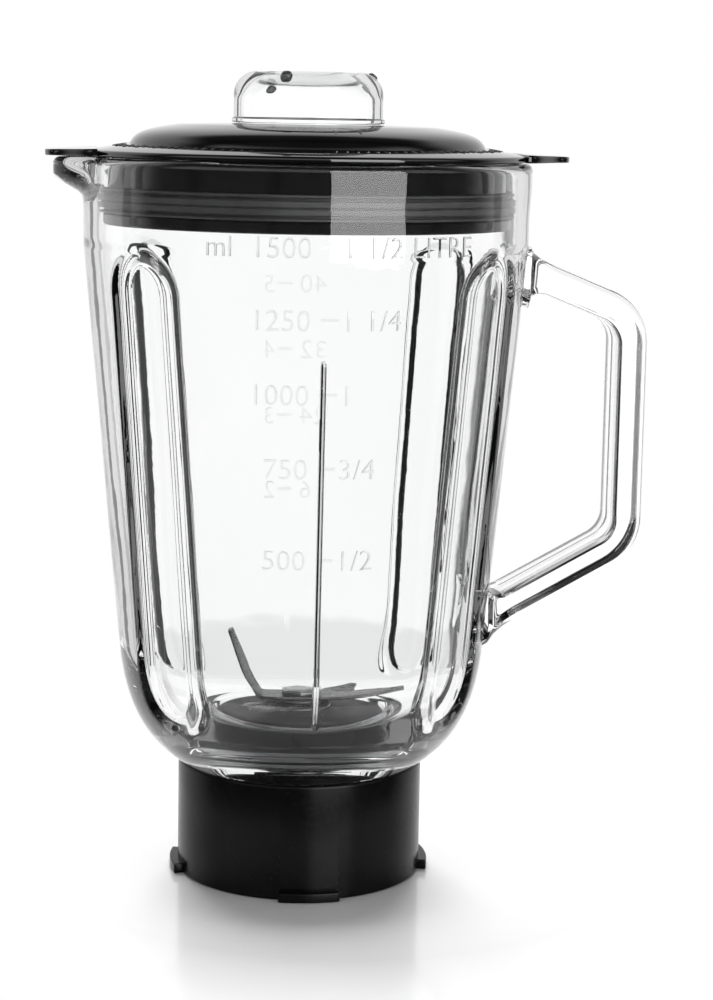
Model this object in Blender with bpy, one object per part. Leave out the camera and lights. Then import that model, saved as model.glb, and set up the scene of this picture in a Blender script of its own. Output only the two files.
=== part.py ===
"""The jug assembly of a countertop blender: a pressed glass jug with its handle and spout, the screw collar under it,
the blade unit that the collar clamps against the glass, and the lid with its measuring cap.

Metres, +Z up. The handle points along +X, the spout along -X, and the graduated side of the jug faces -Y. The origin
is the bottom centre of the whole assembly's box, so the jug's own axis stands beside it, at JUG_AXIS_X. Every piece is
modelled round the local Z axis of its body's empty, which stands on the jug's axis.
"""

import math

import bmesh
import bpy
from mathutils import Matrix, Vector

MM = 0.001

# ---------------------------------------------------------------------------------------------------------------------
# Driving dimensions
# ---------------------------------------------------------------------------------------------------------------------

# Fits
REST_GAP = 0.3 * MM  # between two faces that rest on each other
PRESS_GAP = 0.1 * MM  # radial, between a pressed piece and its seat
RUNNING_GAP = 0.1 * MM  # radial, between the shaft and its bushes
THREAD_GAP = 0.4 * MM  # round the screw thread
LOOSE_GAP = 1.0 * MM  # radial, between the carrier and the glass neck

# Collar
COLLAR_RADIUS = 38.0 * MM
COLLAR_WALL = 2.4 * MM
COLLAR_EDGE = 0.8 * MM
LEDGE_HEIGHT = 11.5 * MM  # underside of the ledge that carries the blade unit
LEDGE_THICKNESS = 2.5 * MM
LEDGE_WIDTH = 10.1 * MM  # from the collar's bore inwards
LUG_COUNT = 4
LUG_REACH = 2.6 * MM
LUG_SPAN = math.radians(27)
LUG_FOOT_HEIGHT = 3.0 * MM
LUG_STOP_SPAN = math.radians(4.2)
LUG_STOP_HEIGHT = 8.8 * MM

# Screw thread between collar and glass neck
THREAD_STARTS = 4
THREAD_LEAD = 24.0 * MM
THREAD_SPAN = math.radians(50)
THREAD_DEPTH = 2.2 * MM
THREAD_WIDTH = 2.2 * MM
THREAD_RISE = 2.2 * MM  # from the glass rim up to the start of its thread

# Blade unit
FLANGE_THICKNESS = 3.0 * MM
GASKET_THICKNESS = 2.5 * MM
CARRIER_SINK = 1.8 * MM  # how far the carrier's top stays below the glass floor
CARRIER_SKIN = 3.0 * MM
CARRIER_EDGE = 1.5 * MM
BOSS_STAND_UP = 2.0 * MM
BOSS_WALL = 2.2 * MM  # outside the shaft seal's recess
SHAFT_RADIUS = 4.0 * MM
SHAFT_EDGE = 0.6 * MM
SHAFT_DROP = 1.5 * MM  # from the top of the drive's socket down to the shaft's lower end
BUSH_WALL = 3.0 * MM
BUSH_LENGTH = 7.5 * MM
WEB_THICKNESS = 1.0 * MM  # between the upper bush and the shaft seal
WEB_CLEARANCE = 0.6 * MM  # round the shaft, in that web
SEAL_WIDTH = 4.8 * MM  # from the shaft outwards
SEAL_HEIGHT = 3.6 * MM
SEAL_CASE = 1.5 * MM
SEAL_FOOT = 1.2 * MM
SEAL_LIP_RISE = 2.6 * MM
SEAL_LIP_WALL = 0.8 * MM
WASHER_WIDTH = 3.5 * MM  # from the shaft outwards
WASHER_THICKNESS = 1.0 * MM
CIRCLIP_STAND_OUT = 2.2 * MM
CIRCLIP_THICKNESS = 1.0 * MM
CIRCLIP_GROOVE = 0.7 * MM
CIRCLIP_OPENING = math.radians(50)
COUPLING_RADIUS = 17.0 * MM
COUPLING_BOTTOM = 5.0 * MM
COUPLING_HEIGHT = 9.5 * MM
COUPLING_SKIRT_WALL = 3.0 * MM
COUPLING_EDGE = 1.0 * MM
COUPLING_HUB_WALL = 3.0 * MM
COUPLING_CLEARANCE = 3.4 * MM  # between the coupling's insert and the circlip above it
COUPLING_TEETH = 6
COUPLING_TOOTH_SPAN = math.radians(22)
COUPLING_TOOTH_REACH = 3.5 * MM
SOCKET_DEPTH = 5.5 * MM
INSERT_WALL = 3.0 * MM
INSERT_STAND_UP = 0.5 * MM
INSERT_SINK = 0.2 * MM  # above the socket's ceiling

# Blades: the first wing points along the turn, and a wing is flat until its root, given from the nut outwards
BLADE_THICKNESS = 1.5 * MM
BLADE_WIDTH = 12.0 * MM
BLADE_TIP_WIDTH = 4.0 * MM
BLADE_BEND = 3.0 * MM  # length of the bend at a wing's root
BLADE_OUTLINE = ((0.55, 0.95), (0.85, 0.7))  # (share of the wing beyond its bend, share of the blade's width)
SPACER_THICKNESS = 0.8 * MM
NUT_WALL = 2.3 * MM
NUT_HEIGHT = 2.8 * MM
NUT_HEXAGON = 0.7  # share of the nut's height
NUT_DOME = ((0.8, 0.75), (0.5, 0.95))  # (share of the nut's radius, share of its height)
NUT_CROWN = 1.2 * MM  # from the shaft's end to the nut's top
UPPER_BLADE_TURN = math.radians(175)
UPPER_WINGS = ((math.radians(68), 5.2 * MM, 28.0 * MM), (math.radians(8), 1.7 * MM, 25.3 * MM))  # rise, root, length
LOWER_BLADE_TURN = math.radians(45)
LOWER_WINGS = ((math.radians(14), 5.7 * MM), (math.radians(12), 4.7 * MM))  # rise, root
LOWER_TIP_CLEARANCE = 1.3 * MM  # from the neck's bore, so that the jug lifts past these wings

# Glass jug
MOUTH_RADIUS = 68.0 * MM
JUG_BODY_HEIGHT = 184.5 * MM  # from the shoulder to the mouth
JUG_TAPER = 11.1 * MM  # how much the outside widens from the rounded bottom to the mouth
CORNER_HEIGHT = 35.8 * MM  # from the shoulder up to where the rounded bottom meets the straight side
BOTTOM_FULLNESS = 0.52  # shares of the rounded bottom's width and height, which shape its curve
BOTTOM_LIFT = 0.16
CORNER_FULLNESS = 0.54
CORNER_LEAN = 1.6 * MM
BELT_HEIGHT = 26.0 * MM  # the nearly upright band below the mouth
BELT_TAPER = 0.2 * MM
GLASS_WALL = 4.4 * MM
GLASS_EDGE = 1.0 * MM
NECK_LENGTH = 15.8 * MM
NECK_WALL = 5.2 * MM
SHOULDER_GAP = 0.4 * MM  # between the collar's top and the glass above it
SHOULDER_OVERHANG = 0.6 * MM
FLOOR_THICKNESS = 10.0 * MM
FLOOR_RING = 5.2 * MM  # width of the flat floor round the neck's bore

FLUTE_TURNS = tuple(math.radians(a) for a in (52, 128, 232, 308))  # from -Y towards +X
FLUTE_HALF_WIDTH = 13.5 * MM
FLUTE_TOP_DROP = 25.0 * MM  # from the mouth down to the flutes' round tops
FLUTE_FOOT = 14.0 * MM  # from the shoulder up to their round feet
FLUTE_PRESS_OUT = 2.2 * MM
FLUTE_PRESS_IN = 3.6 * MM
RIB_TURNS = (0.0, math.pi)
RIB_HALF_WIDTH = 2.6 * MM
RIB_HEIGHT = 1.8 * MM
RIB_TOP_DROP = 54.5 * MM
RIB_FOOT = 21.0 * MM

SPOUT_STAND_OUT = 8.5 * MM
SPOUT_HALF_ANGLE = math.radians(17)
SPOUT_LIP = 5.0 * MM  # height of the spout's upright front
SPOUT_FALL = 7.0 * MM  # height over which it runs back into the wall below that
SPOUT_FLOOR = 3.0 * MM  # thickness of the glass under the spout's channel
SPOUT_FULLNESS = 1.15  # over 1 for a spout with a broad middle

# Handle, in the plane of the spout and the jug's axis
HANDLE_STAND_OUT = 36.6 * MM  # from the mouth's outside to the grip's outside
HANDLE_THICKNESS = 9.2 * MM
HANDLE_WIDTH = 22.0 * MM
HANDLE_EDGE = 2.6 * MM
HANDLE_BEND = 13.0 * MM
HANDLE_TOP_DROP = 31.5 * MM  # from the mouth to the upper arm's centre at the wall
HANDLE_TOP_SLOPE = math.radians(22)
HANDLE_FOOT_RISE = 43.5 * MM  # from the shoulder to the lower arm's centre at the wall
HANDLE_FOOT_SLOPE = math.radians(29)
HANDLE_ROOT_FILLET = 8.0 * MM
HANDLE_FLARE_OUT = 0.3  # shares of the root's fillet that widen the arm on the grip's outer and inner side
HANDLE_FLARE_IN = 0.8
HANDLE_SINK = 2.4 * MM  # how far the arms' ends stand in the glass wall

# Lid
LID_WALL = 2.5 * MM
LID_EDGE = 0.5 * MM
LID_FLANGE_SETBACK = 1.4 * MM  # from the mouth's outside
LID_FLANGE_THICKNESS = 2.5 * MM
DOME_SETBACK = 6.2 * MM  # from the skirt
DOME_HEIGHT = 7.8 * MM
DOME_SHOULDER = 15.0 * MM
DOME_FOOT_SHAPE = (0.13, 0.26)  # shares of the dome's shoulder and height, which shape its curve
DOME_TOP_SHAPE = 0.4
DOME_HOLLOW = 0.4  # share of the dome's height, from its ceiling down to its inside shoulder
SKIRT_CLEARANCE = 3.6 * MM  # radial, between the skirt and the glass
SKIRT_BEAD = 1.4 * MM
SKIRT_DEPTH = 19.8 * MM
SKIRT_BEAD_HEIGHT = 3.4 * MM
HOLE_RADIUS = 22.1 * MM
HOLE_TUBE_DEPTH = 14.0 * MM
TAB_STAND_OUT = 12.1 * MM
TAB_ROOT_WIDTH = 50.0 * MM
TAB_TIP_WIDTH = 26.0 * MM
TAB_THICKNESS = 1.7 * MM
TAB_DROOP = 0.6 * MM
TAB_STATIONS = (0.0, 0.35, 0.65, 0.85, 0.95, 1.0)  # shares of the tab's run
TAB_SHOULDER = 0.85  # share of the run where the tip's rounding starts
TAB_ROUNDING = 0.45  # share of the tip's width that the rounding takes off

# Lid seal, a ring of fins round the skirt
SEAL_RING_BODY = 0.9 * MM
SEAL_RING_HEIGHT = 7.4 * MM
SEAL_FIN_CLEARANCE = 1.1 * MM  # radial, between a fin and the glass
SEAL_FIN_THICKNESS = 0.7 * MM
SEAL_LIP_CLEARANCE = 0.7 * MM
SEAL_LIP_DROP = 1.8 * MM  # from the ring's top and bottom to the lip

# Measuring cap
CAP_OVERHANG = 0.4 * MM  # beyond the filler hole, below the bead
CAP_HEIGHT = 15.2 * MM  # above the lid
CAP_WALL = 1.9 * MM
CAP_BEAD = 0.6 * MM
CAP_BEAD_HEIGHT = 1.3 * MM
CAP_PLUG_DEPTH = 19.0 * MM
CAP_EDGE = 8.8 * MM
PIP_TURNS = tuple(math.radians(a) for a in (-25, 95, 215))
PIP_RADIUS = 2.0 * MM
PIP_SLOPE = math.radians(52)  # where on the round edge the pips stand

# Facets
JUG_STEPS = 60
LARGE_STEPS = 48
SMALL_STEPS = 24

# ---------------------------------------------------------------------------------------------------------------------
# Heights and radii that follow from them
# ---------------------------------------------------------------------------------------------------------------------

COLLAR_BORE = COLLAR_RADIUS - COLLAR_WALL
LEDGE_HOLE_RADIUS = COLLAR_BORE - LEDGE_WIDTH
FLANGE_BOTTOM = LEDGE_HEIGHT + LEDGE_THICKNESS + REST_GAP
FLANGE_TOP = FLANGE_BOTTOM + FLANGE_THICKNESS
GASKET_BOTTOM = FLANGE_TOP + REST_GAP
NECK_RIM = GASKET_BOTTOM + GASKET_THICKNESS + REST_GAP
NECK_RADIUS = COLLAR_BORE - THREAD_GAP - THREAD_DEPTH
NECK_BORE = NECK_RADIUS - NECK_WALL
SHOULDER = NECK_RIM + NECK_LENGTH
COLLAR_HEIGHT = SHOULDER - SHOULDER_GAP
FLOOR = SHOULDER + FLOOR_THICKNESS

FLANGE_RADIUS = COLLAR_BORE - LOOSE_GAP
CARRIER_RADIUS = NECK_BORE - LOOSE_GAP
CARRIER_TOP = FLOOR - CARRIER_SINK
BOSS_TOP = CARRIER_TOP + BOSS_STAND_UP
SHAFT_BORE = SHAFT_RADIUS + RUNNING_GAP
BUSH_RADIUS = SHAFT_BORE + BUSH_WALL
SEAL_RADIUS = SHAFT_RADIUS + SEAL_WIDTH
SEAL_SEAT = BOSS_TOP - SEAL_HEIGHT - REST_GAP
BOSS_RADIUS = SEAL_RADIUS + BOSS_WALL
BUSH_WEB = SEAL_SEAT - WEB_THICKNESS

SOCKET_CEILING = COUPLING_BOTTOM + SOCKET_DEPTH
COUPLING_TOP = COUPLING_BOTTOM + COUPLING_HEIGHT
INSERT_RADIUS = SHAFT_RADIUS + INSERT_WALL
INSERT_TOP = COUPLING_TOP + INSERT_STAND_UP
CIRCLIP_BOTTOM = INSERT_TOP + COUPLING_CLEARANCE
LOWER_WASHER_BOTTOM = CIRCLIP_BOTTOM + CIRCLIP_THICKNESS + REST_GAP
BOSS_BOTTOM = LOWER_WASHER_BOTTOM + WASHER_THICKNESS + REST_GAP
SHAFT_BOTTOM = SOCKET_CEILING - SHAFT_DROP

THRUST_WASHER_BOTTOM = BOSS_TOP + REST_GAP
LOWER_BLADE_BOTTOM = THRUST_WASHER_BOTTOM + WASHER_THICKNESS + REST_GAP
SPACER_BOTTOM = LOWER_BLADE_BOTTOM + BLADE_THICKNESS + REST_GAP
UPPER_BLADE_BOTTOM = SPACER_BOTTOM + SPACER_THICKNESS + REST_GAP
NUT_BOTTOM = UPPER_BLADE_BOTTOM + BLADE_THICKNESS + REST_GAP
NUT_TOP = NUT_BOTTOM + NUT_HEIGHT
NUT_RADIUS = SHAFT_RADIUS + NUT_WALL
SHAFT_TOP = NUT_TOP - NUT_CROWN
LOWER_BLADE_REACH = NECK_BORE - LOWER_TIP_CLEARANCE

MOUTH = SHOULDER + JUG_BODY_HEIGHT
MOUTH_BORE = MOUTH_RADIUS - GLASS_WALL
CORNER_TOP = SHOULDER + CORNER_HEIGHT
CORNER_RADIUS = MOUTH_RADIUS - JUG_TAPER
BELT_BOTTOM = MOUTH - BELT_HEIGHT
SHOULDER_RADIUS = COLLAR_RADIUS + SHOULDER_OVERHANG
FLOOR_RADIUS = NECK_BORE + FLOOR_RING
SPOUT_REACH = MOUTH_RADIUS + SPOUT_STAND_OUT
HANDLE_REACH = MOUTH_RADIUS + HANDLE_STAND_OUT

LID_FLANGE_RADIUS = MOUTH_RADIUS - LID_FLANGE_SETBACK
LID_FLANGE_BOTTOM = MOUTH + REST_GAP
LID_FLANGE_TOP = LID_FLANGE_BOTTOM + LID_FLANGE_THICKNESS
LID_TOP = LID_FLANGE_TOP + DOME_HEIGHT
SKIRT_RADIUS = MOUTH_BORE - SKIRT_CLEARANCE
SKIRT_BOTTOM = LID_FLANGE_BOTTOM - SKIRT_DEPTH
DOME_RADIUS = SKIRT_RADIUS - DOME_SETBACK
TAB_REACH = LID_FLANGE_RADIUS + TAB_STAND_OUT
SEAL_RING_BOTTOM = SKIRT_BOTTOM + SKIRT_BEAD_HEIGHT + REST_GAP
SEAL_FIN_RADIUS = MOUTH_BORE - SEAL_FIN_CLEARANCE
SEAL_LIP_RADIUS = MOUTH_BORE - SEAL_LIP_CLEARANCE
CAP_RADIUS = HOLE_RADIUS + CAP_OVERHANG

JUG_AXIS_X = (TAB_REACH - HANDLE_REACH) / 2


# ---------------------------------------------------------------------------------------------------------------------
# Small tools
# ---------------------------------------------------------------------------------------------------------------------


def clear_scene():
    for obj in list(bpy.data.objects):
        bpy.data.objects.remove(obj, do_unlink=True)


def make_material(name, colour, roughness, metallic=0.0, transmission=0.0):
    material = bpy.data.materials.new(name)
    material.use_nodes = True
    shader = material.node_tree.nodes["Principled BSDF"]
    shader.inputs["Base Color"].default_value = (*colour, 1.0)
    shader.inputs["Roughness"].default_value = roughness
    shader.inputs["Metallic"].default_value = metallic
    shader.inputs["Transmission Weight"].default_value = transmission
    return material


def make_body(name, parent=None):
    """An empty on the jug's axis, which the pieces of one moving body hang from."""
    empty = bpy.data.objects.new(name, None)
    bpy.context.scene.collection.objects.link(empty)
    empty.empty_display_size = 10 * MM
    if parent is None:
        empty.location = (JUG_AXIS_X, 0, 0)
    else:
        empty.parent = parent
    return empty


def make_piece(name, bm, material, body):
    bmesh.ops.recalc_face_normals(bm, faces=bm.faces)
    mesh = bpy.data.meshes.new(name)
    bm.to_mesh(mesh)
    bm.free()
    mesh.materials.append(material)
    mesh.shade_smooth()
    mesh.set_sharp_from_angle(angle=math.radians(35))
    piece = bpy.data.objects.new(name, mesh)
    bpy.context.scene.collection.objects.link(piece)
    piece.parent = body
    return piece


def shape_with(piece, operation, name, bm):
    """Adds the shape in bm to the piece, or cuts it from the piece."""
    tool = make_piece(f"{piece.name}_{name}", bm, piece.data.materials[0], piece.parent)
    tool.hide_render = True
    tool.display_type = "WIRE"
    modifier = piece.modifiers.new(name, "BOOLEAN")
    modifier.operation = operation
    modifier.solver = "EXACT"
    modifier.object = tool


def turned(outline, steps=SMALL_STEPS):
    """A solid turned about Z. outline is a closed loop of (radius, height), which may have one side on the axis."""
    bm = bmesh.new()
    corners = [bm.verts.new((radius, 0, height)) for radius, height in outline]
    edges = [
        bm.edges.new((a, b))
        for a, b in zip(corners, corners[1:] + corners[:1])
        if a.co.x > 0 or b.co.x > 0
    ]
    bmesh.ops.spin(
        bm, geom=corners + edges, cent=(0, 0, 0), axis=(0, 0, 1), angle=math.tau, steps=steps, use_merge=True
    )
    bmesh.ops.remove_doubles(bm, verts=bm.verts, dist=1e-7)
    return bm


def add_sweep(bm, sections):
    """Adds the solid that runs through these sections, each a flat loop with the same number of points."""
    loops = [[bm.verts.new(point) for point in section] for section in sections]
    count = len(loops[0])
    for here, there in zip(loops, loops[1:]):
        for i in range(count):
            j = (i + 1) % count
            bm.faces.new((here[i], here[j], there[j], there[i]))
    bm.faces.new(loops[0])
    bm.faces.new(loops[-1])


def add_arc_block(bm, inner, outer, bottom, top, start, span, rise=0.0, steps=6):
    """Adds a block between two radii that runs round the axis from start over span, climbing by rise."""
    sections = []
    for step in range(steps + 1):
        share = step / steps
        angle = start + span * share
        lift = rise * share
        sections.append(
            [
                Vector((radius * math.cos(angle), radius * math.sin(angle), height + lift))
                for radius, height in ((inner, bottom), (outer, bottom), (outer, top), (inner, top))
            ]
        )
    add_sweep(bm, sections)


def ring(inner, outer, bottom, top):
    """The outline of a plain ring, with its outer edges taken off."""
    edge = min(0.3 * MM, (top - bottom) / 4)
    return [
        (inner, bottom),
        (outer - edge, bottom),
        (outer, bottom + edge),
        (outer, top - edge),
        (outer - edge, top),
        (inner, top),
    ]


def bezier(start, first, second, end, steps):
    """Points of a cubic curve, both ends included."""
    points = []
    for step in range(steps + 1):
        t = step / steps
        weights = ((1 - t) ** 3, 3 * t * (1 - t) ** 2, 3 * t * t * (1 - t), t**3)
        points.append(
            tuple(sum(w * p[axis] for w, p in zip(weights, (start, first, second, end))) for axis in (0, 1))
        )
    return points


def smooth(value):
    """0 below 0, 1 above 1, and an S curve between."""
    value = min(max(value, 0.0), 1.0)
    return value * value * (3 - 2 * value)


# ---------------------------------------------------------------------------------------------------------------------
# Collar
# ---------------------------------------------------------------------------------------------------------------------


def thread_height(turn):
    """How far the thread climbs over this turn."""
    return THREAD_LEAD * turn / math.tau


def make_collar(material, body):
    outline = [
        (COLLAR_BORE, 0),
        (COLLAR_RADIUS - COLLAR_EDGE, 0),
        (COLLAR_RADIUS, COLLAR_EDGE),
        (COLLAR_RADIUS, COLLAR_HEIGHT - COLLAR_EDGE),
        (COLLAR_RADIUS - COLLAR_EDGE, COLLAR_HEIGHT),
        (COLLAR_BORE + COLLAR_EDGE, COLLAR_HEIGHT),
        (COLLAR_BORE, COLLAR_HEIGHT - COLLAR_EDGE),
        (COLLAR_BORE, LEDGE_HEIGHT + LEDGE_THICKNESS),
        (LEDGE_HOLE_RADIUS, LEDGE_HEIGHT + LEDGE_THICKNESS),
        (LEDGE_HOLE_RADIUS, LEDGE_HEIGHT),
        (COLLAR_BORE, LEDGE_HEIGHT),
    ]
    collar = make_piece("collar", turned(outline, LARGE_STEPS), material, body)

    lugs = bmesh.new()
    stops = bmesh.new()
    sunk = COLLAR_RADIUS - COLLAR_WALL / 2
    for lug in range(LUG_COUNT):
        start = lug * math.tau / LUG_COUNT - LUG_SPAN / 2
        reach = COLLAR_RADIUS + LUG_REACH
        add_arc_block(lugs, sunk, reach, 0, LUG_FOOT_HEIGHT, start, LUG_SPAN)
        stop_bottom = LUG_FOOT_HEIGHT / 2
        add_arc_block(stops, sunk, reach, stop_bottom, LUG_STOP_HEIGHT, start, LUG_STOP_SPAN, steps=1)
    shape_with(collar, "UNION", "lugs", lugs)
    shape_with(collar, "UNION", "stops", stops)

    ramps = bmesh.new()
    bottom = NECK_RIM + THREAD_RISE + THREAD_WIDTH + REST_GAP
    for start in range(THREAD_STARTS):
        add_arc_block(
            ramps,
            COLLAR_BORE - THREAD_DEPTH,
            COLLAR_RADIUS - COLLAR_WALL / 2,
            bottom,
            bottom + THREAD_WIDTH,
            start * math.tau / THREAD_STARTS,
            THREAD_SPAN,
            thread_height(THREAD_SPAN),
        )
    shape_with(collar, "UNION", "ramps", ramps)


# ---------------------------------------------------------------------------------------------------------------------
# Blade unit: carrier, gasket, bushes and seal
# ---------------------------------------------------------------------------------------------------------------------


def make_carrier(material, body):
    cavity = CARRIER_RADIUS - CARRIER_SKIN
    ceiling = CARRIER_TOP - CARRIER_SKIN
    bore = BUSH_RADIUS + PRESS_GAP
    edge = CARRIER_EDGE
    outline = [
        (cavity, FLANGE_BOTTOM),
        (FLANGE_RADIUS, FLANGE_BOTTOM),
        (FLANGE_RADIUS, FLANGE_TOP),
        (CARRIER_RADIUS, FLANGE_TOP),
        (CARRIER_RADIUS, CARRIER_TOP - 2 * edge),
        (CARRIER_RADIUS - edge, CARRIER_TOP - edge / 2),
        (CARRIER_RADIUS - 3 * edge, CARRIER_TOP),
        (BOSS_RADIUS + BOSS_STAND_UP, CARRIER_TOP),
        (BOSS_RADIUS, BOSS_TOP),
        (SEAL_RADIUS + PRESS_GAP, BOSS_TOP),
        (SEAL_RADIUS + PRESS_GAP, SEAL_SEAT),
        (SHAFT_RADIUS + WEB_CLEARANCE, SEAL_SEAT),
        (SHAFT_RADIUS + WEB_CLEARANCE, BUSH_WEB),
        (bore, BUSH_WEB),
        (bore, BOSS_BOTTOM),
        (BOSS_RADIUS, BOSS_BOTTOM),
        (BOSS_RADIUS, ceiling - edge),
        (BOSS_RADIUS + edge, ceiling),
        (cavity - edge, ceiling),
        (cavity, ceiling - edge),
    ]
    make_piece("blade_carrier", turned(outline, LARGE_STEPS), material, body)


def make_gasket(material, body):
    outline = ring(CARRIER_RADIUS + REST_GAP, FLANGE_RADIUS - REST_GAP, GASKET_BOTTOM, GASKET_BOTTOM + GASKET_THICKNESS)
    make_piece("jug_gasket", turned(outline, LARGE_STEPS), material, body)


def make_bushes(material, body):
    for name, bottom in (("lower_bush", BOSS_BOTTOM), ("upper_bush", BUSH_WEB - REST_GAP - BUSH_LENGTH)):
        make_piece(name, turned(ring(SHAFT_BORE, BUSH_RADIUS, bottom, bottom + BUSH_LENGTH)), material, body)


def make_shaft_seal(material, body):
    """A cup with a thin lip that leans in on the shaft."""
    bottom = SEAL_SEAT + REST_GAP
    top = BOSS_TOP - REST_GAP
    case = SEAL_RADIUS - SEAL_CASE
    lip_root = SHAFT_BORE + 2 * SEAL_LIP_WALL
    lip_top = bottom + SEAL_LIP_RISE
    outline = [
        (lip_root, bottom),
        (SEAL_RADIUS, bottom),
        (SEAL_RADIUS, top),
        (case, top),
        (case, bottom + SEAL_FOOT),
        (lip_root, bottom + SEAL_FOOT),
        (SHAFT_BORE + SEAL_LIP_WALL, lip_top),
        (SHAFT_BORE, lip_top),
        (SHAFT_BORE, lip_top - SEAL_LIP_WALL / 2),
    ]
    make_piece("shaft_seal", turned(outline), material, body)


# ---------------------------------------------------------------------------------------------------------------------
# Drive: shaft, blades and coupling
# ---------------------------------------------------------------------------------------------------------------------


def make_shaft(material, body):
    groove = CIRCLIP_BOTTOM - REST_GAP / 2
    groove_top = groove + CIRCLIP_THICKNESS + REST_GAP
    outline = [
        (0, SHAFT_BOTTOM),
        (SHAFT_RADIUS - SHAFT_EDGE, SHAFT_BOTTOM),
        (SHAFT_RADIUS, SHAFT_BOTTOM + SHAFT_EDGE),
        (SHAFT_RADIUS, groove),
        (SHAFT_RADIUS - CIRCLIP_GROOVE, groove),
        (SHAFT_RADIUS - CIRCLIP_GROOVE, groove_top),
        (SHAFT_RADIUS, groove_top),
        (SHAFT_RADIUS, SHAFT_TOP - SHAFT_EDGE),
        (SHAFT_RADIUS - SHAFT_EDGE, SHAFT_TOP),
        (0, SHAFT_TOP),
    ]
    make_piece("drive_shaft", turned(outline), material, body)


def make_washers(steel, body):
    narrow = SHAFT_RADIUS + WASHER_WIDTH
    wide = BOSS_RADIUS - WASHER_THICKNESS
    for name, radius, bottom, thickness in (
        ("thrust_washer", wide, THRUST_WASHER_BOTTOM, WASHER_THICKNESS),
        ("lower_washer", narrow, LOWER_WASHER_BOTTOM, WASHER_THICKNESS),
        ("blade_spacer", narrow, SPACER_BOTTOM, SPACER_THICKNESS),
    ):
        make_piece(name, turned(ring(SHAFT_BORE, radius, bottom, bottom + thickness)), steel, body)


def make_circlip(material, body):
    """An open ring in the shaft's groove, with its gap towards +X."""
    bm = bmesh.new()
    add_arc_block(
        bm,
        SHAFT_BORE - CIRCLIP_GROOVE,
        SHAFT_RADIUS + CIRCLIP_STAND_OUT,
        CIRCLIP_BOTTOM,
        CIRCLIP_BOTTOM + CIRCLIP_THICKNESS,
        CIRCLIP_OPENING / 2,
        math.tau - CIRCLIP_OPENING,
        steps=20,
    )
    make_piece("circlip", bm, material, body)


def wing_sections(rise, root, length, start):
    """Sections of one wing from start out to the tip: flat as far as root, then bent up by rise."""
    root += NUT_RADIUS
    stations = []
    for step in range(5):
        angle = rise * step / 4
        along = root + BLADE_BEND * math.sin(angle) / rise
        up = BLADE_BEND * (1 - math.cos(angle)) / rise
        stations.append((along, up, angle, BLADE_WIDTH))
    along, up = stations[-1][:2]
    for share, width in (*BLADE_OUTLINE, (1.0, BLADE_TIP_WIDTH / BLADE_WIDTH)):
        reach = (length - BLADE_BEND) * share
        stations.append((along + reach * math.cos(rise), up + reach * math.sin(rise), rise, BLADE_WIDTH * width))
    stations.insert(0, (start, 0.0, 0.0, BLADE_WIDTH))
    sections = []
    for along, up, angle, width in stations:
        lift = Vector((-math.sin(angle), 0, math.cos(angle))) * BLADE_THICKNESS
        low = Vector((along, 0, up))
        side = Vector((0, width / 2, 0))
        sections.append([low - side, low + side, low + side + lift, low - side + lift])
    return sections


def wing_reaching(reach, rise, root):
    """The wing whose tip stands this far from the axis."""
    sloping = reach - NUT_RADIUS - root - BLADE_BEND * math.sin(rise) / rise
    return rise, root, BLADE_BEND + sloping / math.cos(rise)


def make_blade(name, wings, turn, bottom, material, body):
    first, second = wings
    out = wing_sections(*first, start=0.0)
    back = wing_sections(*second, start=0.0)
    half_turn = Matrix.Rotation(math.pi, 4, "Z")
    far_side = [[half_turn @ p for p in (s[1], s[0], s[3], s[2])] for s in reversed(back[1:])]
    bm = bmesh.new()
    add_sweep(bm, far_side + out[1:])
    bmesh.ops.rotate(bm, verts=bm.verts, matrix=Matrix.Rotation(turn, 3, "Z"))
    bmesh.ops.translate(bm, verts=bm.verts, vec=(0, 0, bottom))
    blade = make_piece(name, bm, material, body)
    shape_with(blade, "DIFFERENCE", "hole", shaft_hole(bottom - BLADE_THICKNESS, bottom + 2 * BLADE_THICKNESS))


def shaft_hole(bottom, top):
    """A cutter for the hole that the shaft goes through."""
    return turned([(0, bottom), (SHAFT_BORE, bottom), (SHAFT_BORE, top), (0, top)])


def make_nut(material, body):
    """A low cap nut: a hexagon under a shallow dome, bored from below for the shaft's end."""
    hexagon = NUT_HEIGHT * NUT_HEXAGON
    bm = bmesh.new()
    bmesh.ops.create_cone(bm, cap_ends=True, segments=6, radius1=NUT_RADIUS, radius2=NUT_RADIUS, depth=hexagon)
    bmesh.ops.translate(bm, verts=bm.verts, vec=(0, 0, NUT_BOTTOM + hexagon / 2))
    nut = make_piece("blade_nut", bm, material, body)
    dome = turned(
        [
            (0, NUT_BOTTOM + hexagon / 2),
            (NUT_RADIUS * NUT_DOME[0][0], NUT_BOTTOM + hexagon / 2),
            *((NUT_RADIUS * out, NUT_BOTTOM + NUT_HEIGHT * up) for out, up in NUT_DOME),
            (0, NUT_TOP),
        ]
    )
    shape_with(nut, "UNION", "dome", dome)
    shape_with(nut, "DIFFERENCE", "hole", shaft_hole(NUT_BOTTOM - hexagon, SHAFT_TOP + REST_GAP))


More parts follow.
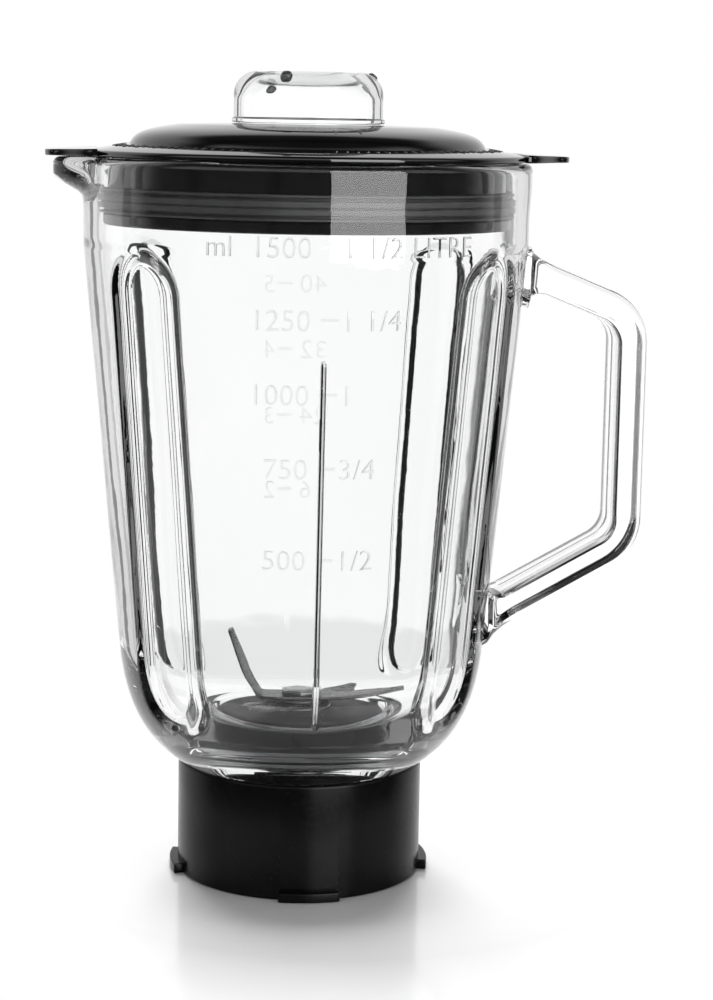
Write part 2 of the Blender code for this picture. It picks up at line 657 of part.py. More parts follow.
def make_coupling(plastic, metal, body):
    """A cup with inward teeth below, and a hub above that holds the threaded insert."""
    socket = COUPLING_RADIUS - COUPLING_SKIRT_WALL
    bore = INSERT_RADIUS + PRESS_GAP
    web_top = SOCKET_CEILING + 2 * COUPLING_EDGE
    hub = INSERT_RADIUS + COUPLING_HUB_WALL
    outline = [
        (bore, COUPLING_TOP),
        (bore, SOCKET_CEILING),
        (socket, SOCKET_CEILING),
        (socket, COUPLING_BOTTOM),
        (COUPLING_RADIUS - COUPLING_EDGE, COUPLING_BOTTOM),
        (COUPLING_RADIUS, COUPLING_BOTTOM + COUPLING_EDGE),
        (COUPLING_RADIUS, web_top - COUPLING_EDGE),
        (COUPLING_RADIUS - 2 * COUPLING_EDGE, web_top),
        (hub + COUPLING_EDGE, web_top),
        (hub, COUPLING_TOP),
    ]
    coupling = make_piece("drive_coupling", turned(outline, LARGE_STEPS), plastic, body)
    teeth = bmesh.new()
    for tooth in range(COUPLING_TEETH):
        middle = (tooth + 0.5) * math.tau / COUPLING_TEETH
        add_arc_block(
            teeth,
            socket - COUPLING_TOOTH_REACH,
            socket + COUPLING_SKIRT_WALL / 2,
            COUPLING_BOTTOM + COUPLING_EDGE,
            SOCKET_CEILING + COUPLING_EDGE / 2,
            middle - COUPLING_TOOTH_SPAN / 2,
            COUPLING_TOOTH_SPAN,
            steps=2,
        )
    shape_with(coupling, "UNION", "teeth", teeth)
    outline = ring(SHAFT_BORE, INSERT_RADIUS, SOCKET_CEILING + INSERT_SINK, INSERT_TOP)
    make_piece("coupling_insert", turned(outline), metal, body)


# ---------------------------------------------------------------------------------------------------------------------
# Glass jug
# ---------------------------------------------------------------------------------------------------------------------


def side_radius(height):
    """Outside radius of the jug's straight side and of the belt above it."""
    if height >= BELT_BOTTOM:
        share = (height - BELT_BOTTOM) / BELT_HEIGHT
        return MOUTH_RADIUS - BELT_TAPER * (1 - share)
    share = (height - CORNER_TOP) / (BELT_BOTTOM - CORNER_TOP)
    return CORNER_RADIUS + (JUG_TAPER - BELT_TAPER) * share


def capsule_share(across, height, bottom, top, half_width, edge):
    """1 inside an upright strip with round ends, 0 outside, and an S curve over the edge width."""
    centre = min(max(height, bottom + half_width), top - half_width)
    distance = math.hypot(across, height - centre)
    return smooth((half_width - distance) / edge)


def angle_between(a, b):
    return (a - b + math.pi) % math.tau - math.pi


def pressed_radius(radius, height, azimuth, inside):
    """The turned radius with the flutes and ribs pressed in and the spout drawn out. azimuth runs from -Y towards +X."""
    if CORNER_RADIUS / 2 < radius and height > SHOULDER:
        for turn in FLUTE_TURNS:
            across = radius * angle_between(azimuth, turn)
            share = capsule_share(
                across, height, SHOULDER + FLUTE_FOOT, MOUTH - FLUTE_TOP_DROP, FLUTE_HALF_WIDTH, FLUTE_HALF_WIDTH / 2
            )
            radius -= share * (FLUTE_PRESS_IN if inside else FLUTE_PRESS_OUT)
        for turn in RIB_TURNS if inside else ():
            across = radius * angle_between(azimuth, turn)
            share = capsule_share(
                across, height, SHOULDER + RIB_FOOT, MOUTH - RIB_TOP_DROP, RIB_HALF_WIDTH, RIB_HALF_WIDTH
            )
            radius -= share * RIB_HEIGHT
    fall_bottom = MOUTH - SPOUT_LIP - SPOUT_FALL + (SPOUT_FLOOR if inside else 0.0)
    climb = smooth((height - fall_bottom) / SPOUT_FALL)
    sideways = abs(angle_between(azimuth, -math.pi / 2)) / SPOUT_HALF_ANGLE
    return radius + (SPOUT_REACH - MOUTH_RADIUS) * climb * smooth(SPOUT_FULLNESS * (1 - sideways))


def jug_outline():
    """The closed outline of the turned glass, as (radius, height, is inside), from the neck's rim up and back down."""
    edge = GLASS_EDGE
    outside = [(NECK_RADIUS, NECK_RIM), (NECK_RADIUS, SHOULDER - edge), (NECK_RADIUS + edge, SHOULDER)]
    outside += rounded_bottom(SHOULDER_RADIUS, SHOULDER, side_radius(CORNER_TOP), 7)
    side_steps = 7
    for step in range(1, side_steps + 1):
        height = CORNER_TOP + (BELT_BOTTOM - CORNER_TOP) * step / side_steps
        outside.append((side_radius(height), height))
    spout_steps = 5
    for step in range(spout_steps, -1, -1):
        height = MOUTH - edge - (SPOUT_LIP + SPOUT_FALL - edge) * step / spout_steps
        outside.append((side_radius(height), height))
    outside.append((MOUTH_RADIUS - edge, MOUTH))

    inside = [(MOUTH_BORE + edge, MOUTH)]
    for step in range(spout_steps + 1):
        height = MOUTH - edge - (SPOUT_LIP + SPOUT_FALL - edge) * step / spout_steps
        inside.append((MOUTH_BORE, height))
    for step in range(side_steps, 0, -1):
        height = CORNER_TOP + (BELT_BOTTOM - CORNER_TOP) * step / side_steps
        inside.append((side_radius(height) - GLASS_WALL, height))
    inside += rounded_bottom(FLOOR_RADIUS, FLOOR, side_radius(CORNER_TOP) - GLASS_WALL, 6)[::-1]
    inside += [(NECK_BORE + edge, FLOOR), (NECK_BORE, FLOOR - edge), (NECK_BORE, NECK_RIM)]
    return [(r, h, False) for r, h in outside] + [(r, h, True) for r, h in inside]


def rounded_bottom(radius, height, side, steps):
    """The curve from a ring on the shoulder or the floor up to the straight side's lower end."""
    run, climb = side - radius, CORNER_TOP - height
    return bezier(
        (radius, height),
        (radius + BOTTOM_FULLNESS * run, height + BOTTOM_LIFT * climb),
        (side - CORNER_LEAN, CORNER_TOP - CORNER_FULLNESS * climb),
        (side, CORNER_TOP),
        steps,
    )


def jug_azimuths():
    """Columns of the jug's mesh: even ones all round, and close ones across each rib."""
    even = [math.tau * step / JUG_STEPS for step in range(JUG_STEPS)]
    rib = RIB_HALF_WIDTH / CORNER_RADIUS
    close = [turn + share * rib for turn in RIB_TURNS for share in (-1.0, -0.5, 0.5, 1.0)]
    return sorted(a % math.tau for a in even + close)


def make_jug(material, body):
    bm = bmesh.new()
    outline = jug_outline()
    columns = []
    for azimuth in jug_azimuths():
        column = []
        for radius, height, inside in outline:
            radius = pressed_radius(radius, height, azimuth, inside)
            column.append(bm.verts.new((radius * math.sin(azimuth), -radius * math.cos(azimuth), height)))
        columns.append(column)
    for here, there in zip(columns, columns[1:] + columns[:1]):
        for i in range(len(outline)):
            j = (i + 1) % len(outline)
            bm.faces.new((here[i], here[j], there[j], there[i]))
    jug = make_piece("glass_jug", bm, material, body)
    shape_with(jug, "UNION", "handle", handle_solid())
    shape_with(jug, "UNION", "thread", neck_thread())


def neck_thread():
    bm = bmesh.new()
    bottom = NECK_RIM + THREAD_RISE
    for start in range(THREAD_STARTS):
        add_arc_block(
            bm,
            NECK_RADIUS - NECK_WALL / 3,
            NECK_RADIUS + THREAD_DEPTH,
            bottom,
            bottom + THREAD_WIDTH,
            start * math.tau / THREAD_STARTS,
            THREAD_SPAN,
            thread_height(THREAD_SPAN),
        )
    return bm


def handle_path():
    """The handle's centreline in X and Z: down the upper arm, the upright grip and the lower arm, with round bends."""
    grip = HANDLE_REACH - HANDLE_THICKNESS / 2
    top_height = MOUTH - HANDLE_TOP_DROP
    foot_height = SHOULDER + HANDLE_FOOT_RISE
    start = Vector((side_radius(top_height) - HANDLE_SINK, top_height))
    end = Vector((side_radius(foot_height) - HANDLE_SINK, foot_height))
    corners = [
        Vector((grip, start.y - (grip - start.x) * math.tan(HANDLE_TOP_SLOPE))),
        Vector((grip, end.y + (grip - end.x) * math.tan(HANDLE_FOOT_SLOPE))),
    ]
    path = []
    before = start
    for corner, after in zip(corners, (corners[1], end)):
        arrive = (corner - before).normalized()
        leave = (after - corner).normalized()
        turn = arrive.angle(leave)
        cut = HANDLE_BEND * math.tan(turn / 2)
        first, last = corner - arrive * cut, corner + leave * cut
        run = (first - before).length
        for step in range(6):
            path.append(before + arrive * run * step / 6)
        middle = corner + (leave - arrive).normalized() * HANDLE_BEND / math.cos(turn / 2)
        spoke = first - middle
        for step in range(5):
            angle = -turn * step / 4
            path.append(
                middle
                + Vector(
                    (
                        spoke.x * math.cos(angle) - spoke.y * math.sin(angle),
                        spoke.x * math.sin(angle) + spoke.y * math.cos(angle),
                    )
                )
            )
        before = last
    run = (end - before).length
    for step in range(1, 7):
        path.append(before + (end - before).normalized() * run * step / 6)
    return path


def handle_solid():
    path = handle_path()
    total = sum((b - a).length for a, b in zip(path, path[1:]))
    bm = bmesh.new()
    sections = []
    travelled = 0.0
    for i, point in enumerate(path):
        behind, ahead = path[max(i - 1, 0)], path[min(i + 1, len(path) - 1)]
        if i:
            travelled += (point - path[i - 1]).length
        along = (ahead - behind).normalized()
        if i in (0, len(path) - 1):
            along = Vector((math.copysign(1.0, along.x), 0.0))
        outward = Vector((-along.y, along.x))
        from_wall = min(travelled, total - travelled) - HANDLE_SINK
        fillet = 0.0
        if from_wall < HANDLE_ROOT_FILLET:
            short = HANDLE_ROOT_FILLET - max(from_wall, 0.0)
            fillet = HANDLE_ROOT_FILLET - math.sqrt(HANDLE_ROOT_FILLET**2 - short**2)
        outer = HANDLE_THICKNESS / 2 + fillet * HANDLE_FLARE_OUT
        inner = HANDLE_THICKNESS / 2 + fillet * HANDLE_FLARE_IN
        half = HANDLE_WIDTH / 2
        edge = HANDLE_EDGE
        corners = (
            (outer, half - edge),
            (outer - edge, half),
            (edge - inner, half),
            (-inner, half - edge),
            (-inner, edge - half),
            (edge - inner, -half),
            (outer - edge, -half),
            (outer, edge - half),
        )
        sections.append(
            [Vector((point.x + outward.x * out, side, point.y + outward.y * out)) for out, side in corners]
        )
    add_sweep(bm, sections)
    return bm


# ---------------------------------------------------------------------------------------------------------------------
# Lid, its seal and the measuring cap
# ---------------------------------------------------------------------------------------------------------------------


def make_lid(material, body):
    dome = bezier(
        (DOME_RADIUS, LID_FLANGE_TOP),
        (DOME_RADIUS - DOME_SHOULDER * DOME_FOOT_SHAPE[0], LID_TOP - DOME_HEIGHT * DOME_FOOT_SHAPE[1]),
        (DOME_RADIUS - DOME_SHOULDER * DOME_TOP_SHAPE, LID_TOP - LID_EDGE),
        (DOME_RADIUS - DOME_SHOULDER, LID_TOP - LID_EDGE),
        6,
    )
    edge = LID_EDGE
    skirt_bore = SKIRT_RADIUS - LID_WALL
    tube = HOLE_RADIUS + LID_WALL
    ceiling = LID_TOP - LID_WALL
    bead = SKIRT_RADIUS + SKIRT_BEAD
    outline = dome + [
        (HOLE_RADIUS, LID_TOP),
        (HOLE_RADIUS, LID_TOP - HOLE_TUBE_DEPTH),
        (tube, LID_TOP - HOLE_TUBE_DEPTH),
        (tube, ceiling),
        (DOME_RADIUS - DOME_SHOULDER, ceiling - edge),
        (DOME_RADIUS - DOME_SHOULDER / 2 + edge, ceiling - DOME_HEIGHT * DOME_HOLLOW),
        (DOME_RADIUS - LID_WALL, LID_FLANGE_BOTTOM),
        (skirt_bore, LID_FLANGE_BOTTOM - LID_WALL),
        (skirt_bore, SKIRT_BOTTOM),
        (bead, SKIRT_BOTTOM),
        (bead, SKIRT_BOTTOM + SKIRT_BEAD_HEIGHT),
        (SKIRT_RADIUS, SKIRT_BOTTOM + SKIRT_BEAD_HEIGHT),
        (SKIRT_RADIUS, LID_FLANGE_BOTTOM),
        (LID_FLANGE_RADIUS - edge, LID_FLANGE_BOTTOM),
        (LID_FLANGE_RADIUS, LID_FLANGE_BOTTOM + edge),
        (LID_FLANGE_RADIUS, LID_FLANGE_TOP - edge),
        (LID_FLANGE_RADIUS - edge, LID_FLANGE_TOP),
    ]
    lid = make_piece("lid", turned(outline, LARGE_STEPS), material, body)
    tabs = bmesh.new()
    for side in (1, -1):
        add_sweep(tabs, tab_sections(side))
    shape_with(lid, "UNION", "tabs", tabs)


def tab_sections(side):
    """Sections of one lifting tab, from inside the flange out to its round tip, sloping down slightly."""
    root = (SKIRT_RADIUS + LID_FLANGE_RADIUS) / 2
    run = TAB_REACH - root
    sections = []
    for share in TAB_STATIONS:
        width = TAB_ROOT_WIDTH + (TAB_TIP_WIDTH - TAB_ROOT_WIDTH) * smooth(share / TAB_SHOULDER)
        if share > TAB_SHOULDER:
            width = TAB_TIP_WIDTH * (1 - TAB_ROUNDING * ((share - TAB_SHOULDER) / (1 - TAB_SHOULDER)) ** 2)
        drop = TAB_DROOP * share
        top = LID_FLANGE_TOP - (LID_FLANGE_THICKNESS - TAB_THICKNESS) / 4 - drop
        bottom = top - TAB_THICKNESS + drop / 2
        along = side * (root + run * share)
        sections.append(
            [
                Vector((along, across, height))
                for across, height in (
                    (-width / 2, bottom),
                    (width / 2, bottom),
                    (width / 2, top),
                    (-width / 2, top),
                )
            ]
        )
    return sections


def make_lid_seal(material, body):
    """A ring that sits on the skirt's bead, with a thin fin above and below a thick lip."""
    inner = SKIRT_RADIUS + REST_GAP
    web = inner + SEAL_RING_BODY
    bottom = SEAL_RING_BOTTOM
    top = bottom + SEAL_RING_HEIGHT
    fin = SEAL_FIN_THICKNESS
    slant = fin / 2
    lip_bottom = bottom + SEAL_LIP_DROP
    lip_top = top - SEAL_LIP_DROP
    outline = [
        (inner, bottom),
        (web, bottom),
        (SEAL_FIN_RADIUS, bottom + slant),
        (SEAL_FIN_RADIUS, bottom + slant + fin),
        (web, lip_bottom - slant),
        (SEAL_LIP_RADIUS, lip_bottom),
        (SEAL_LIP_RADIUS, lip_top),
        (web, lip_top + slant),
        (SEAL_FIN_RADIUS, top - slant - fin),
        (SEAL_FIN_RADIUS, top - slant),
        (web, top),
        (inner, top),
    ]
    make_piece("lid_seal", turned(outline, LARGE_STEPS), material, body)


def make_measuring_cap(material, body):
    """A thin cup, upside down in the filler hole: its bead rests on the lid and its plug hangs in the hole."""
    seat = LID_TOP + REST_GAP
    top = seat + CAP_HEIGHT
    plug = HOLE_RADIUS - REST_GAP
    bore = plug - CAP_WALL
    inner_edge = CAP_EDGE - CAP_WALL
    round_top = [
        (CAP_RADIUS - CAP_EDGE * (1 - math.cos(a)), top - CAP_EDGE * (1 - math.sin(a)))
        for a in (math.radians(18 * step) for step in range(6))
    ]
    inner_top = top - CAP_WALL
    round_inside = [
        (bore - inner_edge * (1 - math.cos(a)), inner_top - inner_edge * (1 - math.sin(a)))
        for a in (math.radians(22.5 * step) for step in range(5))
    ]
    outline = (
        [
            (plug, seat - CAP_PLUG_DEPTH),
            (plug, seat),
            (CAP_RADIUS + CAP_BEAD, seat),
            (CAP_RADIUS + CAP_BEAD, seat + CAP_BEAD_HEIGHT),
            (CAP_RADIUS, seat + CAP_BEAD_HEIGHT),
        ]
        + round_top
        + [(0, top), (0, inner_top)]
        + round_inside[::-1]
        + [(bore, seat - CAP_PLUG_DEPTH)]
    )
    cap = make_piece("measuring_cap", turned(outline, LARGE_STEPS), material, body)
    pips = bmesh.new()
    radius = CAP_RADIUS - CAP_EDGE * (1 - math.cos(PIP_SLOPE)) - PIP_RADIUS / 2
    height = top - CAP_EDGE * (1 - math.sin(PIP_SLOPE)) - PIP_RADIUS / 4
    for turn in PIP_TURNS:
        place = Matrix.Translation((radius * math.sin(turn), -radius * math.cos(turn), height))
        bmesh.ops.create_icosphere(pips, subdivisions=1, radius=PIP_RADIUS, matrix=place)
    shape_with(cap, "UNION", "pips", pips)


# ---------------------------------------------------------------------------------------------------------------------
# Assembly
# ---------------------------------------------------------------------------------------------------------------------


def main():
    clear_scene()
    black_plastic = make_material("black_plastic", (0.012, 0.012, 0.013), 0.28)
    black_rubber = make_material("black_rubber", (0.03, 0.03, 0.032), 0.6)
    silicone = make_material("silicone", (0.55, 0.56, 0.57), 0.5)
    steel = make_material("steel", (0.6, 0.6, 0.61), 0.22, metallic=1.0)
    bronze = make_material("bronze", (0.55, 0.38, 0.2), 0.35, metallic=1.0)
    clear_glass = make_material("clear_glass", (0.96, 0.97, 0.97), 0.02, transmission=1.0)
    clear_plastic = make_material("clear_plastic", (0.95, 0.95, 0.96), 0.05, transmission=1.0)

    base_collar = make_body("base_collar")
    blade_unit = make_body("blade_unit", base_collar)
    jug = make_body("jug", blade_unit)
    drive = make_body("drive", blade_unit)
    lid = make_body("lid_body", jug)
    cap = make_body("cap_body", lid)

    make_collar(black_plastic, base_collar)
    make_carrier(black_plastic, blade_unit)
    make_gasket(silicone, blade_unit)
    make_bushes(bronze, blade_unit)
    make_shaft_seal(black_rubber, blade_unit)
    make_shaft(steel, drive)
    make_washers(steel, drive)
    make_circlip(steel, drive)
    lower_wings = [wing_reaching(LOWER_BLADE_REACH, *wing) for wing in LOWER_WINGS]
    make_blade("lower_blade", lower_wings, LOWER_BLADE_TURN, LOWER_BLADE_BOTTOM, steel, drive)
    make_blade("upper_blade", UPPER_WINGS, UPPER_BLADE_TURN, UPPER_BLADE_BOTTOM, steel, drive)
    make_nut(steel, drive)
    make_coupling(black_plastic, bronze, drive)
    make_jug(clear_glass, jug)
    make_lid(black_plastic, lid)
    make_lid_seal(black_rubber, lid)
    make_measuring_cap(clear_plastic, cap)


main()
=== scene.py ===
"""The looks of a blender's jug assembly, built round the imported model: pressed glass jug, clear measuring
cap, glossy black lid with its rubber seal, satin black collar, and the blade unit's metal and rubber.

Metres, +Z up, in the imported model's frame. Sizes and places come from the frame; what the frame can't say,
such as the shape of a flute or of a fillet, is named below. Turned pieces are drawn as outlines of
(radius, height, fillet) about the jug's axis.
"""

import math

import bmesh
import bpy
import numpy as np
from mathutils import Matrix, Vector, noise


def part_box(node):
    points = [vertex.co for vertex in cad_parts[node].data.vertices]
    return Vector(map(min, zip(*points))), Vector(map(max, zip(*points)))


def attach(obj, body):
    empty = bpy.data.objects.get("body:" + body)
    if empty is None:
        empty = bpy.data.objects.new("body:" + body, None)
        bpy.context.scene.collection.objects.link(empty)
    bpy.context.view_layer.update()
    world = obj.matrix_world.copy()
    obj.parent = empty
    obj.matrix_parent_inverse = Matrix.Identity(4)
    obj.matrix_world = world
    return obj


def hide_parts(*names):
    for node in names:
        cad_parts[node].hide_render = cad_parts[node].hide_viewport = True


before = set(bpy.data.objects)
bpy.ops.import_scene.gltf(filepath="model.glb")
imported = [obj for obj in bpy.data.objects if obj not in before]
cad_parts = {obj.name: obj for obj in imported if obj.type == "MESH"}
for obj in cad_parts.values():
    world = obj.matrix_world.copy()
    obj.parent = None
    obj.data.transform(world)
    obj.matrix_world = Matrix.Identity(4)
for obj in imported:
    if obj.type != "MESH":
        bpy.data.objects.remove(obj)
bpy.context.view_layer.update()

MM = 0.001


def box_of(node):
    """The node's box, with its bottom, its top and half its depth as its radius."""
    low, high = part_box(node)
    return {"low": low, "high": high, "bottom": low.z, "top": high.z, "radius": (high.y - low.y) / 2}


COLLAR = box_of("collar")
JUG = box_of("glass_jug")
LID = box_of("lid")
SEAL = box_of("lid_seal")
CAP = box_of("measuring_cap")
CARRIER = box_of("blade_carrier")
LOWER_BLADE = box_of("lower_blade")
UPPER_BLADE = box_of("upper_blade")
NUT = box_of("blade_nut")
AXIS_X = (COLLAR["low"].x + COLLAR["high"].x) / 2

# ========== Sizes that the frame doesn't state

# Collar
COLLAR_WALL = 2.4 * MM
LUG_REACH = 2.6 * MM
LEDGE_BOTTOM = 11.5 * MM
LEDGE_TOP = 14.0 * MM
LEDGE_HOLE = 25.5 * MM
LUG_SPAN = math.radians(27)
LUG_FOOT_HEIGHT = 3.0 * MM
LUG_STOP_SPAN = math.radians(4.2)
LUG_STOP_HEIGHT = 8.8 * MM
LUG_TURNS = tuple(lug * math.pi / 2 for lug in range(4))

# Glass jug
GLASS_WALL = 4.4 * MM
NECK_RADIUS = 33.0 * MM
NECK_BORE = 27.8 * MM
THREAD_RADIUS = 35.2 * MM
THREAD_RIB = 2.2 * MM  # its height, and how far it starts above the neck's end
THREAD_SPAN = math.radians(50)
THREAD_LEAD = 24.0 * MM
SHOULDER = 36.2 * MM
SHOULDER_RADIUS = 38.6 * MM
FLOOR = 46.2 * MM
FLOOR_RADIUS = 33.0 * MM
CORNER_TOP = 72.0 * MM
JUG_TAPER = 11.1 * MM
BELT_HEIGHT = 26.0 * MM
BELT_TAPER = 0.2 * MM
FLUTE_TURNS = tuple(math.radians(a) for a in (52, 128, 232, 308))
FLUTE_HALF_WIDTH = 13.5 * MM
FLUTE_BOTTOM = 50.2 * MM
FLUTE_TOP_DROP = 25.0 * MM
FLUTE_PRESS_IN = 3.6 * MM
FLUTE_PRESS_OUT = 2.2 * MM
FLUTE_SIDE_IN = 3.6 * MM
FLUTE_SIDE_OUT = 5.5 * MM
RIB_TURNS = (0.0, math.pi)
RIB_HALF_WIDTH = 1.0 * MM
RIB_HEIGHTS = (0.9 * MM, 0.25 * MM)
RIB_BOTTOM = 57.0 * MM
RIB_TOP_DROP = 54.5 * MM
SPOUT_HALF_ANGLE = math.radians(17)
SPOUT_LIP = 5.0 * MM
SPOUT_FALL = 7.0 * MM
SPOUT_FLOOR = 3.0 * MM
RIPPLE = 0.15 * MM
WALL_SINK = 0.25 * MM  # how far the outside stays inside the envelope, so that the figures fit in it

# Handle
HANDLE_THICKNESS = 9.2 * MM
HANDLE_WIDTH = 22.0 * MM
HANDLE_EDGE = 2.8 * MM
HANDLE_BEND = 13.0 * MM
HANDLE_TOP_DROP = 31.5 * MM
HANDLE_TOP_SLOPE = math.radians(22)
HANDLE_FOOT_RISE = 43.5 * MM
HANDLE_FOOT_SLOPE = math.radians(29)
HANDLE_ROOT_FILLET = 8.0 * MM
HANDLE_SINK = 2.6 * MM

# Lid, seal and cap
LID_WALL = 2.5 * MM
LID_FLANGE_THICKNESS = 2.5 * MM
LID_REST_GAP = 0.3 * MM
DOME_RADIUS = 53.8 * MM
DOME_FOOT_RISE = 1.1 * MM  # from the flange's flat top, up the slope to the dome's foot
DOME_SHOULDER = 15.0 * MM
SKIRT_RADIUS = 60.0 * MM
SKIRT_BEAD = 1.4 * MM
SKIRT_BEAD_HEIGHT = 3.4 * MM
HOLE_RADIUS = 22.1 * MM
HOLE_TUBE_DEPTH = 14.0 * MM
TAB_ROOT_WIDTH = 50.0 * MM
TAB_TIP_WIDTH = 26.0 * MM
TAB_THICKNESS = 1.7 * MM
TAB_DROOP = 0.6 * MM
GRIP_DASHES = 120
FRONT_MARK_TURNS = tuple(math.radians(a) for a in (4.5, 13.5))
DASH_SUNK = 0.15 * MM
DASH_RAISED = 0.22 * MM
CAP_RADIUS = 22.5 * MM
CAP_WALL = 1.3 * MM
CAP_BEAD_HEIGHT = 1.3 * MM
CAP_STANDS = 15.2 * MM  # above its bead
CAP_EDGE = 8.8 * MM
PIP_TURNS = tuple(math.radians(a) for a in (-25, 95, 215))
PIP_RADIUS = 1.7 * MM
PIP_ROUNDING = 1.3 * MM
PIP_SLOPE = math.radians(52)

# Carrier
CARRIER_WALL = 3.0 * MM
CARRIER_GAP = 1.0 * MM  # from the neck's bore
BOSS_RADIUS = 11.0 * MM
BOSS_RISE = 2.0 * MM
BOSS_BOTTOM = 21.0 * MM
SEAL_POCKET_RADIUS = 8.9 * MM
SEAL_POCKET_DEPTH = 3.9 * MM
BUSH_BORE = 7.2 * MM
SHAFT_PASSAGE = 4.6 * MM

# Blades: each wing is (rise, distance of its root from the axis, length)
SHAFT_HOLE = 4.1 * MM
BLADE_THICKNESS = 1.5 * MM
BLADE_WIDTH = 12.0 * MM
BLADE_TIP_WIDTH = 4.0 * MM
BLADE_BEND = 3.0 * MM
UPPER_BLADE_TURN = math.radians(175)
UPPER_WINGS = ((math.radians(68), 11.5 * MM, 28.0 * MM), (math.radians(8), 8.0 * MM, 25.3 * MM))
LOWER_BLADE_TURN = math.radians(45)
LOWER_WINGS = ((math.radians(14), 12.0 * MM, 14.88 * MM), (math.radians(12), 11.0 * MM, 15.8 * MM))

# ========== Camera

CAMERA_DISTANCE = 740.0 * MM
CAMERA_HEIGHT = 237.1 * MM
CAMERA_TURN = math.radians(5.0)  # how far the camera stands round from -Y towards -X
CAMERA_DOWN = math.radians(9.25)
CAMERA_SWING = math.radians(1.28)
CAMERA_ROLL = math.radians(1.0)
CAMERA_LENS = 87.24


def make_camera():
    data = bpy.data.cameras.new("camera")
    data.lens = CAMERA_LENS
    data.sensor_width = 36.0
    data.clip_start = 0.01
    data.clip_end = 50.0
    camera = bpy.data.objects.new("camera", data)
    bpy.context.scene.collection.objects.link(camera)
    heading = CAMERA_SWING - CAMERA_TURN + 2 * CAMERA_TURN
    level = math.cos(CAMERA_DOWN)
    ahead = Vector((math.sin(heading) * level, math.cos(heading) * level, -math.sin(CAMERA_DOWN)))
    right = ahead.cross(Vector((0, 0, 1))).normalized()
    up = right.cross(ahead)
    tilted_right = right * math.cos(CAMERA_ROLL) + up * math.sin(CAMERA_ROLL)
    tilted_up = up * math.cos(CAMERA_ROLL) - right * math.sin(CAMERA_ROLL)
    turn = Matrix((tilted_right, tilted_up, -ahead)).transposed().to_4x4()
    aside, back = CAMERA_DISTANCE * math.sin(CAMERA_TURN), CAMERA_DISTANCE * math.cos(CAMERA_TURN)
    place = Vector((AXIS_X - aside, -back, CAMERA_HEIGHT))
    camera.matrix_world = Matrix.Translation(place) @ turn
    bpy.context.scene.camera = camera


# ========== Materials


class Nodes:
    """A material with a Principled shader, and short calls that add nodes to it."""

    def __init__(self, name):
        self.material = bpy.data.materials.new(name)
        self.material.use_nodes = True
        self.tree = self.material.node_tree
        self.shader = self.tree.nodes["Principled BSDF"]
        self.place = self.tree.nodes.new("ShaderNodeTexCoord").outputs["Object"]

    def set(self, **values):
        for name, value in values.items():
            self.shader.inputs[name.replace("_", " ")].default_value = value

    def stretched(self, scale):
        """Object coordinates scaled by this much along X, Y and Z."""
        node = self.tree.nodes.new("ShaderNodeMapping")
        node.inputs["Scale"].default_value = scale
        self.tree.links.new(self.place, node.inputs["Vector"])
        return node.outputs["Vector"]

    def noise(self, scale, detail=3.0, roughness=0.5, place=None):
        node = self.tree.nodes.new("ShaderNodeTexNoise")
        node.inputs["Scale"].default_value = scale
        node.inputs["Detail"].default_value = detail
        node.inputs["Roughness"].default_value = roughness
        self.tree.links.new(place or self.place, node.inputs["Vector"])
        return node.outputs["Fac"]

    def spread(self, value, low, high, start=0.3, end=0.7):
        """value between start and end, spread over low to high."""
        node = self.tree.nodes.new("ShaderNodeMapRange")
        for name, number in (("From Min", start), ("From Max", end), ("To Min", low), ("To Max", high)):
            node.inputs[name].default_value = number
        self.tree.links.new(value, node.inputs["Value"])
        return node.outputs["Result"]

    def colours(self, value, first, second, start=0.35, end=0.65):
        node = self.tree.nodes.new("ShaderNodeValToRGB")
        ramp = node.color_ramp.elements
        ramp[0].position, ramp[1].position = start, end
        ramp[0].color, ramp[1].color = (*first, 1.0), (*second, 1.0)
        self.tree.links.new(value, node.inputs["Fac"])
        return node.outputs["Color"]

    def link(self, output, name):
        self.tree.links.new(output, self.shader.inputs[name])

    def bump(self, *layers):
        """Bump from (height, distance in metres) layers, one on top of the other."""
        normal = None
        for height, distance in layers:
            node = self.tree.nodes.new("ShaderNodeBump")
            node.inputs["Strength"].default_value = 1.0
            node.inputs["Distance"].default_value = distance
            self.tree.links.new(height, node.inputs["Height"])
            if normal:
                self.tree.links.new(normal, node.inputs["Normal"])
            normal = node.outputs["Normal"]
        self.link(normal, "Normal")


def clear_glass():
    """Pressed clear glass: slightly grey, with the soft ripples of the mould in its surface."""
    m = Nodes("pressed_glass")
    m.set(Roughness=0.0, IOR=1.5, Transmission_Weight=1.0)
    m.link(m.colours(m.noise(14.0), (0.975, 0.98, 0.98), (0.995, 0.996, 0.996)), "Base Color")
    m.bump((m.noise(45.0, 2.0), 0.00006), (m.noise(160.0, 2.0), 0.00001))
    return m.material


def clear_plastic():
    """Moulded clear plastic, a little greyer than glass, with fine wear on its surface."""
    m = Nodes("clear_plastic")
    m.set(IOR=1.3, Transmission_Weight=1.0)
    m.link(m.colours(m.noise(60.0), (0.965, 0.967, 0.97), (0.985, 0.987, 0.99)), "Base Color")
    m.link(m.spread(m.noise(260.0, 5.0, 0.7), 0.0, 0.05, 0.45, 0.75), "Roughness")
    m.bump((m.noise(70.0, 2.0), 0.00005))
    return m.material


def smoky_plastic():
    m = Nodes("smoky_plastic")
    m.set(IOR=1.49, Transmission_Weight=0.85, Roughness=0.08)
    m.link(m.colours(m.noise(300.0), (0.10, 0.10, 0.105), (0.28, 0.28, 0.29)), "Base Color")
    m.bump((m.noise(400.0, 2.0), 0.00004))
    return m.material


